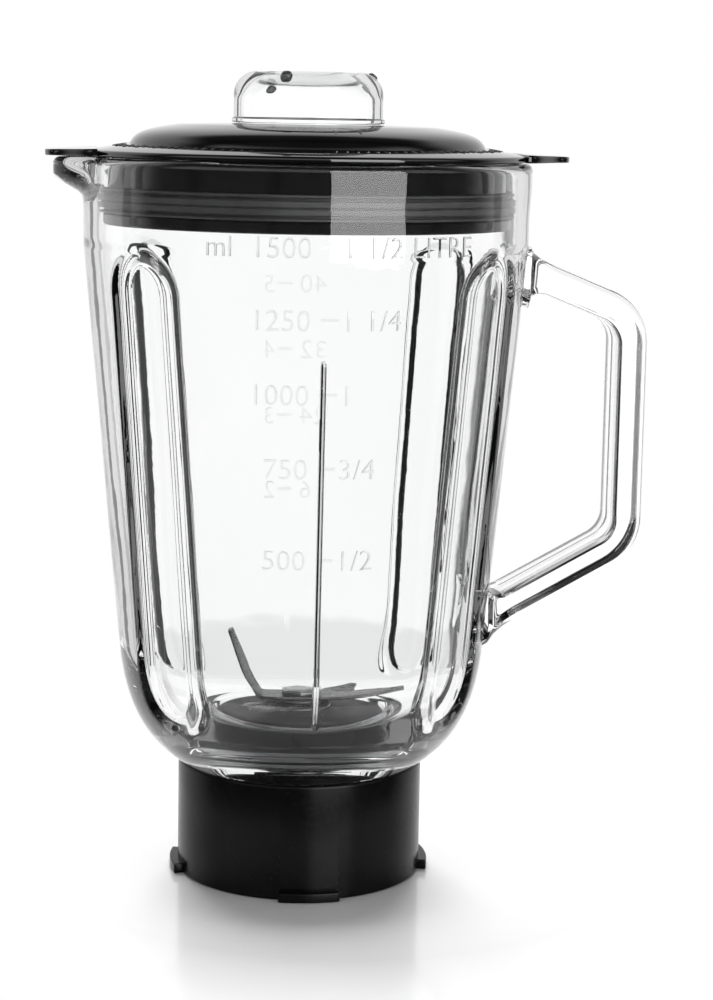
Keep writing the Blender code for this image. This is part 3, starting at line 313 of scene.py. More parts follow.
def glossy_black():
    """The lid's injection-moulded black plastic: glossy, with faint flow marks and handling scratches."""
    m = Nodes("glossy_black_plastic")
    m.set(IOR=1.5, Specular_IOR_Level=0.55)
    m.link(m.colours(m.noise(35.0, 4.0), (0.004, 0.004, 0.0042), (0.008, 0.008, 0.0084)), "Base Color")
    scratches = m.noise(1.0, 6.0, 0.75, m.stretched((900.0, 90.0, 400.0)))
    m.link(m.spread(scratches, 0.03, 0.09, 0.5, 0.8), "Roughness")
    m.bump((m.noise(70.0, 2.0), 0.00002))
    return m.material


def satin_black():
    """The collar's tougher black plastic: satin, with a very fine grain."""
    m = Nodes("satin_black_plastic")
    m.set(IOR=1.46, Specular_IOR_Level=0.12)
    m.link(m.colours(m.noise(50.0, 5.0), (0.002, 0.002, 0.0021), (0.004, 0.004, 0.0042)), "Base Color")
    m.link(m.spread(m.noise(700.0, 4.0, 0.6), 0.18, 0.28), "Roughness")
    m.bump((m.noise(2600.0, 2.0), 0.000006), (m.noise(60.0, 2.0), 0.00003))
    return m.material


def black_rubber():
    """The lid's seal: moulded rubber with a dull bloom on it."""
    m = Nodes("grey_black_rubber")
    m.set(IOR=1.5, Specular_IOR_Level=0.4)
    m.link(m.colours(m.noise(90.0, 5.0, 0.6), (0.035, 0.035, 0.036), (0.06, 0.06, 0.061)), "Base Color")
    m.link(m.spread(m.noise(500.0, 4.0), 0.42, 0.6), "Roughness")
    m.bump((m.noise(1800.0, 2.0), 0.00001))
    return m.material


def silicone():
    m = Nodes("milky_silicone")
    m.set(IOR=1.41, Subsurface_Weight=0.2, Subsurface_Scale=0.002)
    m.link(m.colours(m.noise(120.0, 4.0), (0.50, 0.51, 0.52), (0.62, 0.63, 0.64)), "Base Color")
    m.link(m.spread(m.noise(600.0), 0.4, 0.55), "Roughness")
    m.bump((m.noise(900.0, 2.0), 0.00001))
    return m.material


def brushed_steel():
    """Ground stainless steel, with the grinding marks along the blades."""
    m = Nodes("ground_steel")
    m.set(Metallic=1.0)
    grain = m.noise(1.0, 4.0, 0.6, m.stretched((160.0, 2600.0, 2600.0)))
    m.link(m.colours(grain, (0.12, 0.12, 0.122), (0.24, 0.24, 0.242)), "Base Color")
    m.link(m.spread(grain, 0.16, 0.32), "Roughness")
    m.bump((grain, 0.000006))
    return m.material


def turned_steel():
    m = Nodes("turned_steel")
    m.set(Metallic=1.0)
    grain = m.noise(1.0, 3.0, 0.6, m.stretched((40.0, 40.0, 5200.0)))
    m.link(m.colours(grain, (0.48, 0.48, 0.49), (0.62, 0.62, 0.63)), "Base Color")
    m.link(m.spread(grain, 0.18, 0.34), "Roughness")
    m.bump((grain, 0.000005))
    return m.material


def sintered_bronze():
    m = Nodes("sintered_bronze")
    m.set(Metallic=1.0)
    m.link(m.colours(m.noise(1600.0, 4.0, 0.7), (0.34, 0.22, 0.11), (0.60, 0.42, 0.22)), "Base Color")
    m.link(m.spread(m.noise(1200.0, 3.0), 0.32, 0.5), "Roughness")
    m.bump((m.noise(1600.0, 3.0), 0.00002))
    return m.material


def floor_white():
    """A white sheet that takes light near the jug and glows towards its edge, so that it ends in white."""
    m = Nodes("white_sheet")
    m.set(Roughness=0.12, IOR=1.7, Emission_Color=(1, 1, 1, 1))
    distance = m.tree.nodes.new("ShaderNodeVectorMath")
    distance.operation = "LENGTH"
    m.tree.links.new(m.place, distance.inputs[0])
    out = m.spread(distance.outputs["Value"], 0.0, 1.0, FLOOR_CLEAR, FLOOR_WHITE)
    grain = m.spread(m.noise(4.0), 0.0, 0.02)
    total = m.tree.nodes.new("ShaderNodeMath")
    m.tree.links.new(out, total.inputs[0])
    m.tree.links.new(grain, total.inputs[1])
    m.link(m.colours(total.outputs[0], (0.88, 0.88, 0.88), (0.0, 0.0, 0.0), 0.0, 1.0), "Base Color")
    m.link(m.spread(out, 0.5, 0.0, 0.0, 1.0), "Specular IOR Level")
    m.link(out, "Emission Strength")
    return m.material


# ========== Mesh tools


def smooth(value):
    """0 below 0, 1 above 1, and an S curve between. Takes numbers or arrays."""
    value = np.clip(value, 0.0, 1.0)
    return value * value * (3 - 2 * value)


def bezier(start, first, second, end, steps):
    """Points of a cubic curve, both ends included."""
    t = np.linspace(0, 1, steps + 1)[:, None]
    start, first, second, end = (np.array(p, float) for p in (start, first, second, end))
    points = (1 - t) ** 3 * start + 3 * t * (1 - t) ** 2 * first + 3 * t * t * (1 - t) * second + t**3 * end
    return [tuple(p) for p in points]


def object_of(name, bm, material, sharp=40.0):
    """An object of the mesh in bm, which is drawn round the jug's axis."""
    bmesh.ops.remove_doubles(bm, verts=bm.verts, dist=1e-7)
    bmesh.ops.recalc_face_normals(bm, faces=bm.faces)
    bmesh.ops.translate(bm, verts=bm.verts, vec=(AXIS_X, 0, 0))
    mesh = bpy.data.meshes.new(name)
    bm.to_mesh(mesh)
    bm.free()
    mesh.materials.append(material)
    mesh.shade_smooth()
    mesh.set_sharp_from_angle(angle=math.radians(sharp))
    piece = bpy.data.objects.new(name, mesh)
    bpy.context.scene.collection.objects.link(piece)
    return piece


def piece_of(name, bm, material, body, slot, *nodes, sharp=40.0):
    piece = object_of(name, bm, material, sharp)
    declare(piece, body, slot, *nodes)
    return piece


def declare(piece, body, slot, *nodes):
    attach(piece, body)
    if nodes:
        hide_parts(*nodes)


def filleted(outline, steps=5):
    """The closed outline of (radius, height, fillet) with its corners rounded."""
    points = [np.array(p[:2], float) for p in outline]
    rounded = []
    for i, point in enumerate(points):
        fillet = outline[i][2] if len(outline[i]) > 2 else 0.0
        before, after = points[i - 1] - point, points[(i + 1) % len(points)] - point
        before_length, after_length = np.linalg.norm(before), np.linalg.norm(after)
        if fillet <= 0 or before_length < 1e-9 or after_length < 1e-9:
            rounded.append(tuple(point))
            continue
        before, after = before / before_length, after / after_length
        half = math.acos(float(np.clip(before @ after, -1, 1))) / 2
        if half > math.radians(88):
            rounded.append(tuple(point))
            continue
        cut = min(fillet / math.tan(half), 0.49 * before_length, 0.49 * after_length)
        fillet = cut * math.tan(half)
        middle = point + (before + after) / np.linalg.norm(before + after) * fillet / math.sin(half)
        first = point + before * cut - middle
        last = point + after * cut - middle
        sweep = math.atan2(first[0] * last[1] - first[1] * last[0], float(first @ last))
        for step in range(steps + 1):
            angle = sweep * step / steps
            c, s = math.cos(angle), math.sin(angle)
            across, up = first[0] * c - first[1] * s, first[0] * s + first[1] * c
            rounded.append((middle[0] + across, middle[1] + up))
    return rounded


def turned(outline, steps=160):
    """A solid turned about the jug's axis from a closed outline of (radius, height)."""
    bm = bmesh.new()
    rings = []
    for step in range(steps):
        angle = math.tau * step / steps
        c, s = math.cos(angle), math.sin(angle)
        rings.append([bm.verts.new((max(r, 0.0) * c, max(r, 0.0) * s, z)) for r, z in outline])
    count = len(outline)
    for here, there in zip(rings, rings[1:] + rings[:1]):
        for i in range(count):
            j = (i + 1) % count
            if outline[i][0] > 1e-9 or outline[j][0] > 1e-9:
                bm.faces.new((here[i], here[j], there[j], there[i]))
    return bm


def add_sweep(bm, sections):
    """Adds the solid that runs through these sections, each a flat loop with the same number of points."""
    loops = [[bm.verts.new(point) for point in section] for section in sections]
    count = len(loops[0])
    for here, there in zip(loops, loops[1:]):
        for i in range(count):
            j = (i + 1) % count
            bm.faces.new((here[i], here[j], there[j], there[i]))
    bm.faces.new(loops[0])
    bm.faces.new(loops[-1])


def add_arc_block(bm, inner, outer, bottom, top, start, span, rise=0.0, edge=0.0, steps=16):
    """Adds a block that runs round the axis between two radii, with round outer edges and drawn-in ends."""
    sections = []
    outline = filleted([(inner, bottom), (outer, bottom, edge), (outer, top, edge), (inner, top)], 4)
    ends = [0.0] if edge == 0 else [0.0, 0.5, 1.0]
    turns = [(edge * share / outer, edge * (1 - math.sqrt(1 - (1 - share) ** 2))) for share in ends]
    stations = turns + [(span * step / steps, 0.0) for step in range(1, steps)]
    stations += [(span - turn, inset) for turn, inset in reversed(turns)]
    for turn, inset in stations:
        angle = start + turn
        c, s = math.cos(angle), math.sin(angle)
        lift = rise * turn / span
        middle = (bottom + top) / 2
        section = []
        for radius, height in outline:
            radius = min(radius, outer - inset)
            height = middle + max(min(height - middle, middle - bottom - inset), inset + bottom - middle)
            section.append(Vector((radius * c, radius * s, height + lift)))
        sections.append(section)
    add_sweep(bm, sections)


def combine(piece, *tools, operation="UNION"):
    """Joins the tools to the piece, or cuts them from it, and removes them."""
    for tool in tools:
        modifier = piece.modifiers.new("boolean", "BOOLEAN")
        modifier.operation = operation
        modifier.solver = "EXACT"
        modifier.object = tool
    graph = bpy.context.evaluated_depsgraph_get()
    mesh = bpy.data.meshes.new_from_object(piece.evaluated_get(graph))
    piece.modifiers.clear()
    piece.data = mesh
    for tool in tools:
        bpy.data.objects.remove(tool, do_unlink=True)
    mesh.shade_smooth()
    mesh.set_sharp_from_angle(angle=math.radians(40))


# ========== Glass jug

MOUTH = JUG["top"]
MOUTH_RADIUS = JUG["radius"]
SPOUT_REACH = AXIS_X - JUG["low"].x
HANDLE_REACH = JUG["high"].x - AXIS_X
BELT_BOTTOM = MOUTH - BELT_HEIGHT


def side_radius(height):
    """Outside radius of the jug's straight side and of the belt above it."""
    belt = MOUTH_RADIUS - BELT_TAPER * (MOUTH - height) / BELT_HEIGHT
    climb = height - CORNER_TOP
    side = MOUTH_RADIUS - JUG_TAPER + (JUG_TAPER - BELT_TAPER) * climb / (BELT_BOTTOM - CORNER_TOP)
    return belt if height > BELT_BOTTOM else side


def rounded_bottom(radius, height, side, steps):
    """The curve from a ring on the shoulder or the floor up to the straight side's lower end."""
    run, climb = side - radius, CORNER_TOP - height
    return bezier(
        (radius, height),
        (radius + 0.52 * run, height + 0.16 * climb),
        (side - 1.6 * MM, CORNER_TOP - 0.54 * climb),
        (side, CORNER_TOP),
        steps,
    )


def heights_between(bottom, top, spacing):
    return list(np.linspace(bottom, top, max(2, round((top - bottom) / spacing) + 1)))[1:]


def wall_heights():
    """Heights up the straight wall, close together where the ribs and the flutes end."""
    stops = (CORNER_TOP, MOUTH - 60 * MM, MOUTH - 50 * MM, MOUTH - 42 * MM, BELT_BOTTOM)
    spacings = (2.4 * MM, 0.9 * MM, 2.4 * MM, 0.9 * MM)
    heights = []
    for low, high, spacing in zip(stops, stops[1:], spacings):
        heights += heights_between(low, high, spacing)
    return heights


def jug_outline():
    """The closed outline of the turned glass, as rows of (radius, height, is inside)."""
    lip = GLASS_WALL / 2
    end = JUG["bottom"]
    outside = filleted([(NECK_BORE, end), (NECK_RADIUS, end, 1 * MM), (NECK_RADIUS, SHOULDER)])[1:-1]
    outside += [(NECK_RADIUS, z) for z in (25 * MM, 30 * MM, 34.5 * MM)]
    outside += [(NECK_RADIUS + 0.5 * MM, SHOULDER - 0.3 * MM), (NECK_RADIUS + 1.5 * MM, SHOULDER)]
    outside += rounded_bottom(SHOULDER_RADIUS, SHOULDER, side_radius(CORNER_TOP), 26)
    outside += [(side_radius(z), z) for z in wall_heights()]
    outside += [(side_radius(z), z) for z in heights_between(BELT_BOTTOM, MOUTH - lip, 1.3 * MM)]
    centre = MOUTH_RADIUS - lip
    turns = [math.radians(a) for a in range(15, 180, 15)]
    rim = [(centre + lip * math.cos(a), MOUTH - lip + lip * math.sin(a)) for a in turns]
    outside += rim[:6]
    inside = rim[6:]
    wall = [(MOUTH_RADIUS - GLASS_WALL, z) for z in heights_between(BELT_BOTTOM, MOUTH - lip, 1.3 * MM)]
    inside += wall[::-1]
    wall = [(side_radius(z) - GLASS_WALL, z) for z in wall_heights()]
    inside += wall[::-1]
    inside += rounded_bottom(FLOOR_RADIUS, FLOOR, side_radius(CORNER_TOP) - GLASS_WALL, 24)[::-1]
    inside += filleted([(FLOOR_RADIUS, FLOOR), (NECK_BORE, FLOOR, 2 * MM), (NECK_BORE, end)], 6)[1:-1]
    inside += [(NECK_BORE, z) for z in (40 * MM, 34 * MM, 28 * MM, end)]
    return [(r, z, False) for r, z in outside] + [(r, z, True) for r, z in inside]


def jug_columns():
    """Azimuths of the mesh's columns: close across the ribs and the flutes, wider between them."""
    columns = []
    flute = math.radians(17)
    rib = math.radians(3)
    angle = -rib
    while angle < math.tau - rib - 1e-6:
        columns.append(angle)
        near_rib = any(abs(turned_by(angle, turn)) < rib - 1e-6 for turn in RIB_TURNS)
        near_flute = any(abs(turned_by(angle, turn)) < flute for turn in FLUTE_TURNS)
        angle += math.radians(0.3 if near_rib else 0.65 if near_flute else 1.5)
    return np.array(columns)


def turned_by(angle, turn):
    return (angle - turn + math.pi) % math.tau - math.pi


def wall_slope(value, fillet=0.16):
    """0 below 0, 1 above 1, and a straight slope between with a fillet at each end."""
    value = np.clip(value, 0.0, 1.0)
    low = np.minimum(value, 1 - value)
    climb = np.where(low < 2 * fillet, low * low / (4 * fillet), low - fillet) / (1 - 2 * fillet)
    return np.where(value < 0.5, climb, 1 - climb)


def strip(across, height, bottom, top, half_width, edge, shape=wall_slope):
    """1 inside an upright strip with round ends, 0 outside, and a wall of this width between."""
    centre = np.clip(height, bottom + half_width, top - half_width)
    return shape((half_width - np.hypot(across, height - centre)) / edge)


def pressed_radius(radius, height, azimuth, inside):
    """The turned radius with the flutes and ribs pressed in and the spout drawn out."""
    bare = radius
    if SHOULDER < height:
        for turn in FLUTE_TURNS:
            across = bare * turned_by(azimuth, turn)
            side = FLUTE_SIDE_IN if inside else FLUTE_SIDE_OUT
            share = strip(across, height, FLUTE_BOTTOM, MOUTH - FLUTE_TOP_DROP, FLUTE_HALF_WIDTH, side)
            press = FLUTE_PRESS_IN if inside else FLUTE_PRESS_OUT
            radius = radius - press * share * smooth((bare - 40 * MM) / (12 * MM))
        if inside:
            for turn, rib in zip(RIB_TURNS, RIB_HEIGHTS):
                across = bare * turned_by(azimuth, turn)
                rib_top = MOUTH - RIB_TOP_DROP
                share = strip(across, height, RIB_BOTTOM, rib_top, RIB_HALF_WIDTH, RIB_HALF_WIDTH, smooth)
                radius = radius - rib * share
    fall_bottom = MOUTH - SPOUT_LIP - SPOUT_FALL + (SPOUT_FLOOR if inside else 0.0)
    climb = smooth((height - fall_bottom) / SPOUT_FALL)
    sideways = np.abs(turned_by(azimuth, -math.pi / 2)) / SPOUT_HALF_ANGLE
    return radius + (SPOUT_REACH - MOUTH_RADIUS) * climb * smooth(1.15 * (1 - sideways))


def ripple_at(x, y, z, inside):
    """The mould's ripple at a point, which differs between the two faces of the wall."""
    seed = Vector((3.1, 7.7, 1.9)) if inside else Vector((0, 0, 0))
    place = Vector((x, y, z * 0.7)) * 34.0 + seed
    return RIPPLE * noise.noise(place)


def make_jug(material):
    """The turned outline, pressed and rippled, with its handle and thread joined on."""
    outline = jug_outline()
    columns = jug_columns()
    sin, cos = np.sin(columns), -np.cos(columns)
    bm = bmesh.new()
    rows = []
    for radius, height, inside in outline:
        radii = np.broadcast_to(pressed_radius(radius, height, columns, inside), columns.shape)
        row = []
        below_rim = smooth((MOUTH - 6 * MM - height) / (10 * MM))
        rippled = float(below_rim * smooth((radius - 36 * MM) / (8 * MM)))
        sink = 0.0 if inside else WALL_SINK
        for r, s, c in zip(radii, sin, cos):
            if rippled:
                r += rippled * (ripple_at(r * s, r * c, height, inside) - RIPPLE - sink)
            row.append(bm.verts.new((r * s, r * c, height)))
        rows.append(row)
    count = len(columns)
    for here, there in zip(rows, rows[1:] + rows[:1]):
        for i in range(count):
            j = (i + 1) % count
            bm.faces.new((here[i], here[j], there[j], there[i]))
    jug = object_of("jug_glass", bm, material)
    combine(jug, make_handle(material), make_neck_thread(material))
    jug.visible_shadow = False
    declare(jug, "jug", "clear_glass", "glass_jug")


def make_neck_thread(material):
    """Four ribs that stand for the screw thread."""
    bm = bmesh.new()
    sunk = NECK_RADIUS - 1 * MM
    low = JUG["bottom"] + THREAD_RIB
    high = low + THREAD_RIB
    climb = THREAD_LEAD * THREAD_SPAN / math.tau
    for turn in LUG_TURNS:
        add_arc_block(bm, sunk, THREAD_RADIUS, low, high, turn, THREAD_SPAN, climb, 0.5 * MM)
    return object_of("neck_thread", bm, material)


def handle_path():
    """The handle's centreline in X and Z: the upper arm, the grip and the lower arm, with round bends."""
    grip = HANDLE_REACH - HANDLE_THICKNESS / 2
    top_height = MOUTH - HANDLE_TOP_DROP
    foot_height = SHOULDER + HANDLE_FOOT_RISE
    start = Vector((side_radius(top_height) - HANDLE_SINK, top_height))
    end = Vector((side_radius(foot_height) - HANDLE_SINK, foot_height))
    corners = [
        Vector((grip, start.y - (grip - start.x) * math.tan(HANDLE_TOP_SLOPE))),
        Vector((grip, end.y + (grip - end.x) * math.tan(HANDLE_FOOT_SLOPE))),
    ]
    path = []
    before = start
    for corner, after in zip(corners, (corners[1], end)):
        arrive = (corner - before).normalized()
        leave = (after - corner).normalized()
        turn = arrive.angle(leave)
        cut = HANDLE_BEND * math.tan(turn / 2)
        first, last = corner - arrive * cut, corner + leave * cut
        path += [before.lerp(first, step / 24) for step in range(24)]
        middle = corner + (leave - arrive).normalized() * HANDLE_BEND / math.cos(turn / 2)
        for step in range(12):
            spoke = first - middle
            spoke.rotate(Matrix.Rotation(-turn * step / 12, 2))
            path.append(middle + spoke)
        before = last
    path += [before.lerp(end, step / 24) for step in range(25)]
    return path


def handle_section(outer, inner, half, edge):
    """A rounded rectangle, as (outward, sideways), with every corner turned on the same arc."""
    corners = ((outer - edge, half - edge, 0), (edge - inner, half - edge, 90))
    corners += ((edge - inner, edge - half, 180), (outer - edge, edge - half, 270))
    section = []
    for out, side, first in corners:
        for step in range(7):
            angle = math.radians(first + 15 * step)
            section.append((out + edge * math.cos(angle), side + edge * math.sin(angle)))
    return section


def make_handle(material):
    """The handle, swept along its path and widening where it runs level into the glass."""
    path = handle_path()
    steps = [(b - a).length for a, b in zip(path, path[1:])]
    travelled = np.concatenate([[0.0], np.cumsum(steps)])
    total = travelled[-1]
    bm = bmesh.new()
    sections = []
    for i, point in enumerate(path):
        along = (path[min(i + 1, len(path) - 1)] - path[max(i - 1, 0)]).normalized()
        from_end = min(travelled[i], total - travelled[i])
        level = Vector((math.copysign(1.0, along.x), 0.0))
        along = level.lerp(along, float(smooth(from_end / (14 * MM)))).normalized()
        outward = Vector((-along.y, along.x))
        short = max(HANDLE_ROOT_FILLET - max(from_end - HANDLE_SINK, 0.0), 0.0)
        fillet = HANDLE_ROOT_FILLET - math.sqrt(max(HANDLE_ROOT_FILLET**2 - short**2, 0.0))
        section = handle_section(
            HANDLE_THICKNESS / 2 + 0.35 * fillet,
            HANDLE_THICKNESS / 2 + 0.8 * fillet,
            HANDLE_WIDTH / 2 + 0.35 * fillet,
            HANDLE_EDGE,
        )
        sections.append(
            [Vector((point.x + outward.x * out, side, point.y + outward.y * out)) for out, side in section]
        )
    add_sweep(bm, sections)
    return object_of("handle", bm, material)


# Graduations: (litres row's height, left text, right text), raised on the front of the glass
SCALE_ROWS = (
    (198.2 * MM, "ml  1500", "1 1/2 LITRE"),
    (177.8 * MM, "1250", "1 1/4"),
    (156.6 * MM, "1000", "1"),
    (135.3 * MM, "750", "3/4"),
    (108.6 * MM, "500", "1/2"),
)
BACK_ROWS = (
    (178.4 * MM, "40", "5"),
    (157.1 * MM, "32", "4"),
    (135.5 * MM, "24", "3"),
    (110.7 * MM, "16", "2"),
)
TEXT_HEIGHT = 6.3 * MM
TEXT_RAISE = 0.26 * MM
TEXT_SINK = 0.05 * MM  # from the envelope in to the middle of the figures
TEXT_SPREAD = 4.2 * MM  # from the middle line out to the first figure on either side
STROKE_THINNING = 0.19 * MM
STROKE_ROUNDING = 0.07 * MM
DASH_LEFT = -1.5 * MM
DASH_RIGHT = 3.4 * MM
DASH_HEIGHT = 0.8 * MM


def stroke_mesh(text, left, height, align):
    """A line of figures as a bmesh: X across, Y up from this height, Z raised."""
    curve = bpy.data.curves.new("figures", "FONT")
    curve.body = text
    curve.size = TEXT_HEIGHT * 1.36
    curve.align_x = align
    curve.space_character = 1.02
    curve.offset = -STROKE_THINNING
    curve.extrude = TEXT_RAISE / 2
    curve.bevel_depth = STROKE_ROUNDING
    curve.bevel_resolution = 2
    curve.resolution_u = 4
    figures = bpy.data.objects.new("figures", curve)
    bpy.context.scene.collection.objects.link(figures)
    graph = bpy.context.evaluated_depsgraph_get()
    mesh = bpy.data.meshes.new_from_object(figures.evaluated_get(graph))
    bpy.data.objects.remove(figures)
    bm = bmesh.new()
    bm.from_mesh(mesh)
    bpy.data.meshes.remove(mesh)
    bmesh.ops.translate(bm, verts=bm.verts, vec=(left, height, 0))
    return bm


def dash_mesh(height):
    """The dash between a row's figures, drawn as they are."""
    bm = bmesh.new()
    added = bmesh.ops.create_cube(bm, size=1.0)["verts"]
    bmesh.ops.scale(bm, verts=added, vec=(DASH_RIGHT - DASH_LEFT, DASH_HEIGHT, TEXT_RAISE))
    bmesh.ops.translate(bm, verts=added, vec=((DASH_LEFT + DASH_RIGHT) / 2, height, 0))
    return bm


def wrap_on_glass(bm, facing):
    """Bends a flat drawing (X across, Y up, Z raised) onto the jug's front (1) or back (-1)."""
    for vert in bm.verts:
        across, height, raised = vert.co
        radius = side_radius(height) - TEXT_SINK + raised
        angle = across / side_radius(height)
        vert.co = (facing * radius * math.sin(angle), -facing * radius * math.cos(angle), height)


def make_scale(material):
    """The raised figures of the graduation, and the cup figures on the jug's far side."""
    for name, rows, facing in (("front_scale", SCALE_ROWS, 1), ("back_scale", BACK_ROWS, -1)):
        merged = bmesh.new()
        for height, first, second in rows:
            base = height - TEXT_HEIGHT / 2
            left = stroke_mesh(first, -TEXT_SPREAD, base, "RIGHT")
            right = stroke_mesh(second, TEXT_SPREAD, base, "LEFT")
            for part in (left, right, dash_mesh(height)):
                wrap_on_glass(part, facing)
                mesh = bpy.data.meshes.new("part")
                part.to_mesh(mesh)
                part.free()
                merged.from_mesh(mesh)
                bpy.data.meshes.remove(mesh)
        scale = piece_of(name, merged, material, "jug", "clear_glass", sharp=60.0)
        scale.visible_shadow = False


# ========== Lid, seal and cap

FLANGE_BOTTOM = MOUTH + LID_REST_GAP
FLANGE_TOP = FLANGE_BOTTOM + LID_FLANGE_THICKNESS
DOME_FOOT = FLANGE_TOP + DOME_FOOT_RISE
TAB_REACH = (LID["high"].x - LID["low"].x) / 2


def make_lid(material):
    top, bottom = LID["top"], LID["bottom"]
    dome = bezier(
        (DOME_RADIUS, DOME_FOOT),
        (DOME_RADIUS - 1.5 * MM, top - 3.1 * MM),
        (DOME_RADIUS - 4.3 * MM, top - 2.0 * MM),
        (DOME_RADIUS - DOME_SHOULDER, top - 0.5 * MM),
        24,
    )
    tube = HOLE_RADIUS + LID_WALL
    bead = SKIRT_RADIUS + SKIRT_BEAD
    outline = [(r, z, 0.0) for r, z in dome] + [
        (HOLE_RADIUS + 2 * MM, top - 0.05 * MM),
        (HOLE_RADIUS, top, 0.8 * MM),
        (HOLE_RADIUS, top - HOLE_TUBE_DEPTH, 0.6 * MM),
        (tube, top - HOLE_TUBE_DEPTH, 0.6 * MM),
        (tube, top - LID_WALL, 1 * MM),
        (DOME_RADIUS - DOME_SHOULDER, top - LID_WALL - 0.4 * MM, 3 * MM),
        (DOME_RADIUS - 7 * MM, top - LID_WALL - 3 * MM, 3 * MM),
        (DOME_RADIUS - LID_WALL, FLANGE_BOTTOM, 1 * MM),
        (SKIRT_RADIUS - LID_WALL, FLANGE_BOTTOM - 2 * MM, 1 * MM),
        (SKIRT_RADIUS - LID_WALL, bottom, 0.5 * MM),
        (bead, bottom, 0.9 * MM),
        (bead, bottom + SKIRT_BEAD_HEIGHT, 0.5 * MM),
        (SKIRT_RADIUS, bottom + SKIRT_BEAD_HEIGHT),
        (SKIRT_RADIUS, FLANGE_BOTTOM, 0.7 * MM),
        (LID["radius"], FLANGE_BOTTOM, 0.7 * MM),
        (LID["radius"], FLANGE_TOP - 0.7 * MM, 1.0 * MM),
        (DOME_RADIUS + 1.2 * MM, DOME_FOOT, 1.2 * MM),
    ]
    lid = object_of("lid_shell", turned(filleted(outline), 240), material)
    tabs = bmesh.new()
    for side in (1, -1):
        add_sweep(tabs, tab_sections(side))
    combine(lid, object_of("tabs", tabs, material))
    declare(lid, "lid_body", "black_plastic", "lid")
    make_grip_dashes(material)


def tab_sections(side):
    """Sections of one lifting tab, from inside the flange out to its round tip, sloping down slightly."""
    root = (SKIRT_RADIUS + LID["radius"]) / 2
    run = TAB_REACH - root
    root_thickness = LID_FLANGE_THICKNESS - 0.1 * MM
    edge = 0.5 * MM
    sections = []
    for step in range(25):
        share = 1 - (1 - step / 24) ** 1.6
        width = TAB_ROOT_WIDTH + (TAB_TIP_WIDTH - TAB_ROOT_WIDTH) * float(smooth(share / 0.9))
        if share > 0.8:
            width -= 9 * MM * ((share - 0.8) / 0.2) ** 3
        drop = TAB_DROOP * share
        thin = 0.55 if step == 24 else 1.0
        thick = root_thickness - (root_thickness - TAB_THICKNESS) * share
        top = FLANGE_TOP - 0.1 * MM - drop - (1 - thin) * edge
        bottom = top - thick * thin
        along = side * (root + run * share)
        half = width / 2
        flat = half - edge
        corners = ((-flat, bottom), (flat, bottom), (half, bottom + edge), (half, top - edge))
        corners += ((flat, top), (-flat, top), (-half, top - edge), (-half, bottom + edge))
        sections.append([Vector((along, across, height)) for across, height in corners])
    return sections


def make_grip_dashes(material):
    """Short raised dashes round the flange, and the two marks on the dome's front."""
    bm = bmesh.new()
    for dash in range(GRIP_DASHES):
        turn = math.tau * dash / GRIP_DASHES
        inner = DOME_RADIUS + (2.4 if dash % 3 else 1.6) * MM
        outer = inner + (2.0 if dash % 3 else 3.4) * MM
        slope = (DOME_FOOT - FLANGE_TOP + 0.7 * MM) / (LID["radius"] - DOME_RADIUS - 1.2 * MM)
        heights = [DOME_FOOT - (radius - DOME_RADIUS - 1.2 * MM) * slope for radius in (inner, outer)]
        add_raised_dash(bm, turn, (inner, outer), heights, 0.35 * MM)
    heights = (LID["top"] - 1.35 * MM, LID["top"] - 2.15 * MM)
    for turn in FRONT_MARK_TURNS:
        add_raised_dash(bm, turn - math.pi / 2, (45.0 * MM, 48.0 * MM), heights, 0.25 * MM)
    piece_of("lid_dashes", bm, material, "lid_body", "black_plastic", sharp=60.0)


def add_raised_dash(bm, turn, radii, heights, half):
    """Adds a ridge with sloping sides between two radii, each at its own height."""
    along = Vector((math.cos(turn), math.sin(turn), 0))
    side = Vector((-math.sin(turn), math.cos(turn), 0)) * half
    sections = []
    for radius, height in zip(radii, heights):
        foot = along * radius + Vector((0, 0, height - DASH_SUNK))
        ridge = along * radius + Vector((0, 0, height + DASH_RAISED))
        sections.append([foot - side, foot + side, ridge + side * 0.5, ridge - side * 0.5])
    add_sweep(bm, sections)


def make_seal(material):
    """A ring round the skirt, with a thin fin above and below a thick lip that a groove parts in two."""
    bottom, top = SEAL["bottom"], SEAL["top"]
    inner = SKIRT_RADIUS + 0.3 * MM
    web = inner + 0.6 * MM
    lip = SEAL["radius"]
    fin = lip - 0.4 * MM
    groove = lip - 0.7 * MM
    rings = (
        (web, fin, 0.05, 0.75, web),
        (web, lip, 1.7, 3.45, groove),
        (groove, lip, 3.95, 5.7, web),
        (web, fin, 6.65, 7.35, web),
    )
    outline = [(inner, bottom, 0.2 * MM)]
    for root_below, ring, low, high, root_above in rings:
        outline.append((root_below, bottom + (low - 0.1) * MM, 0.1 * MM))
        outline.append((ring, bottom + low * MM, 0.25 * MM))
        outline.append((ring, bottom + high * MM, 0.25 * MM))
        outline.append((root_above, bottom + (high + 0.1) * MM, 0.1 * MM))
    outline.append((inner, top, 0.2 * MM))
    seal = turned(filleted(outline), 240)
    piece_of("seal_ring", seal, material, "lid_body", "black_rubber", "lid_seal", sharp=60.0)


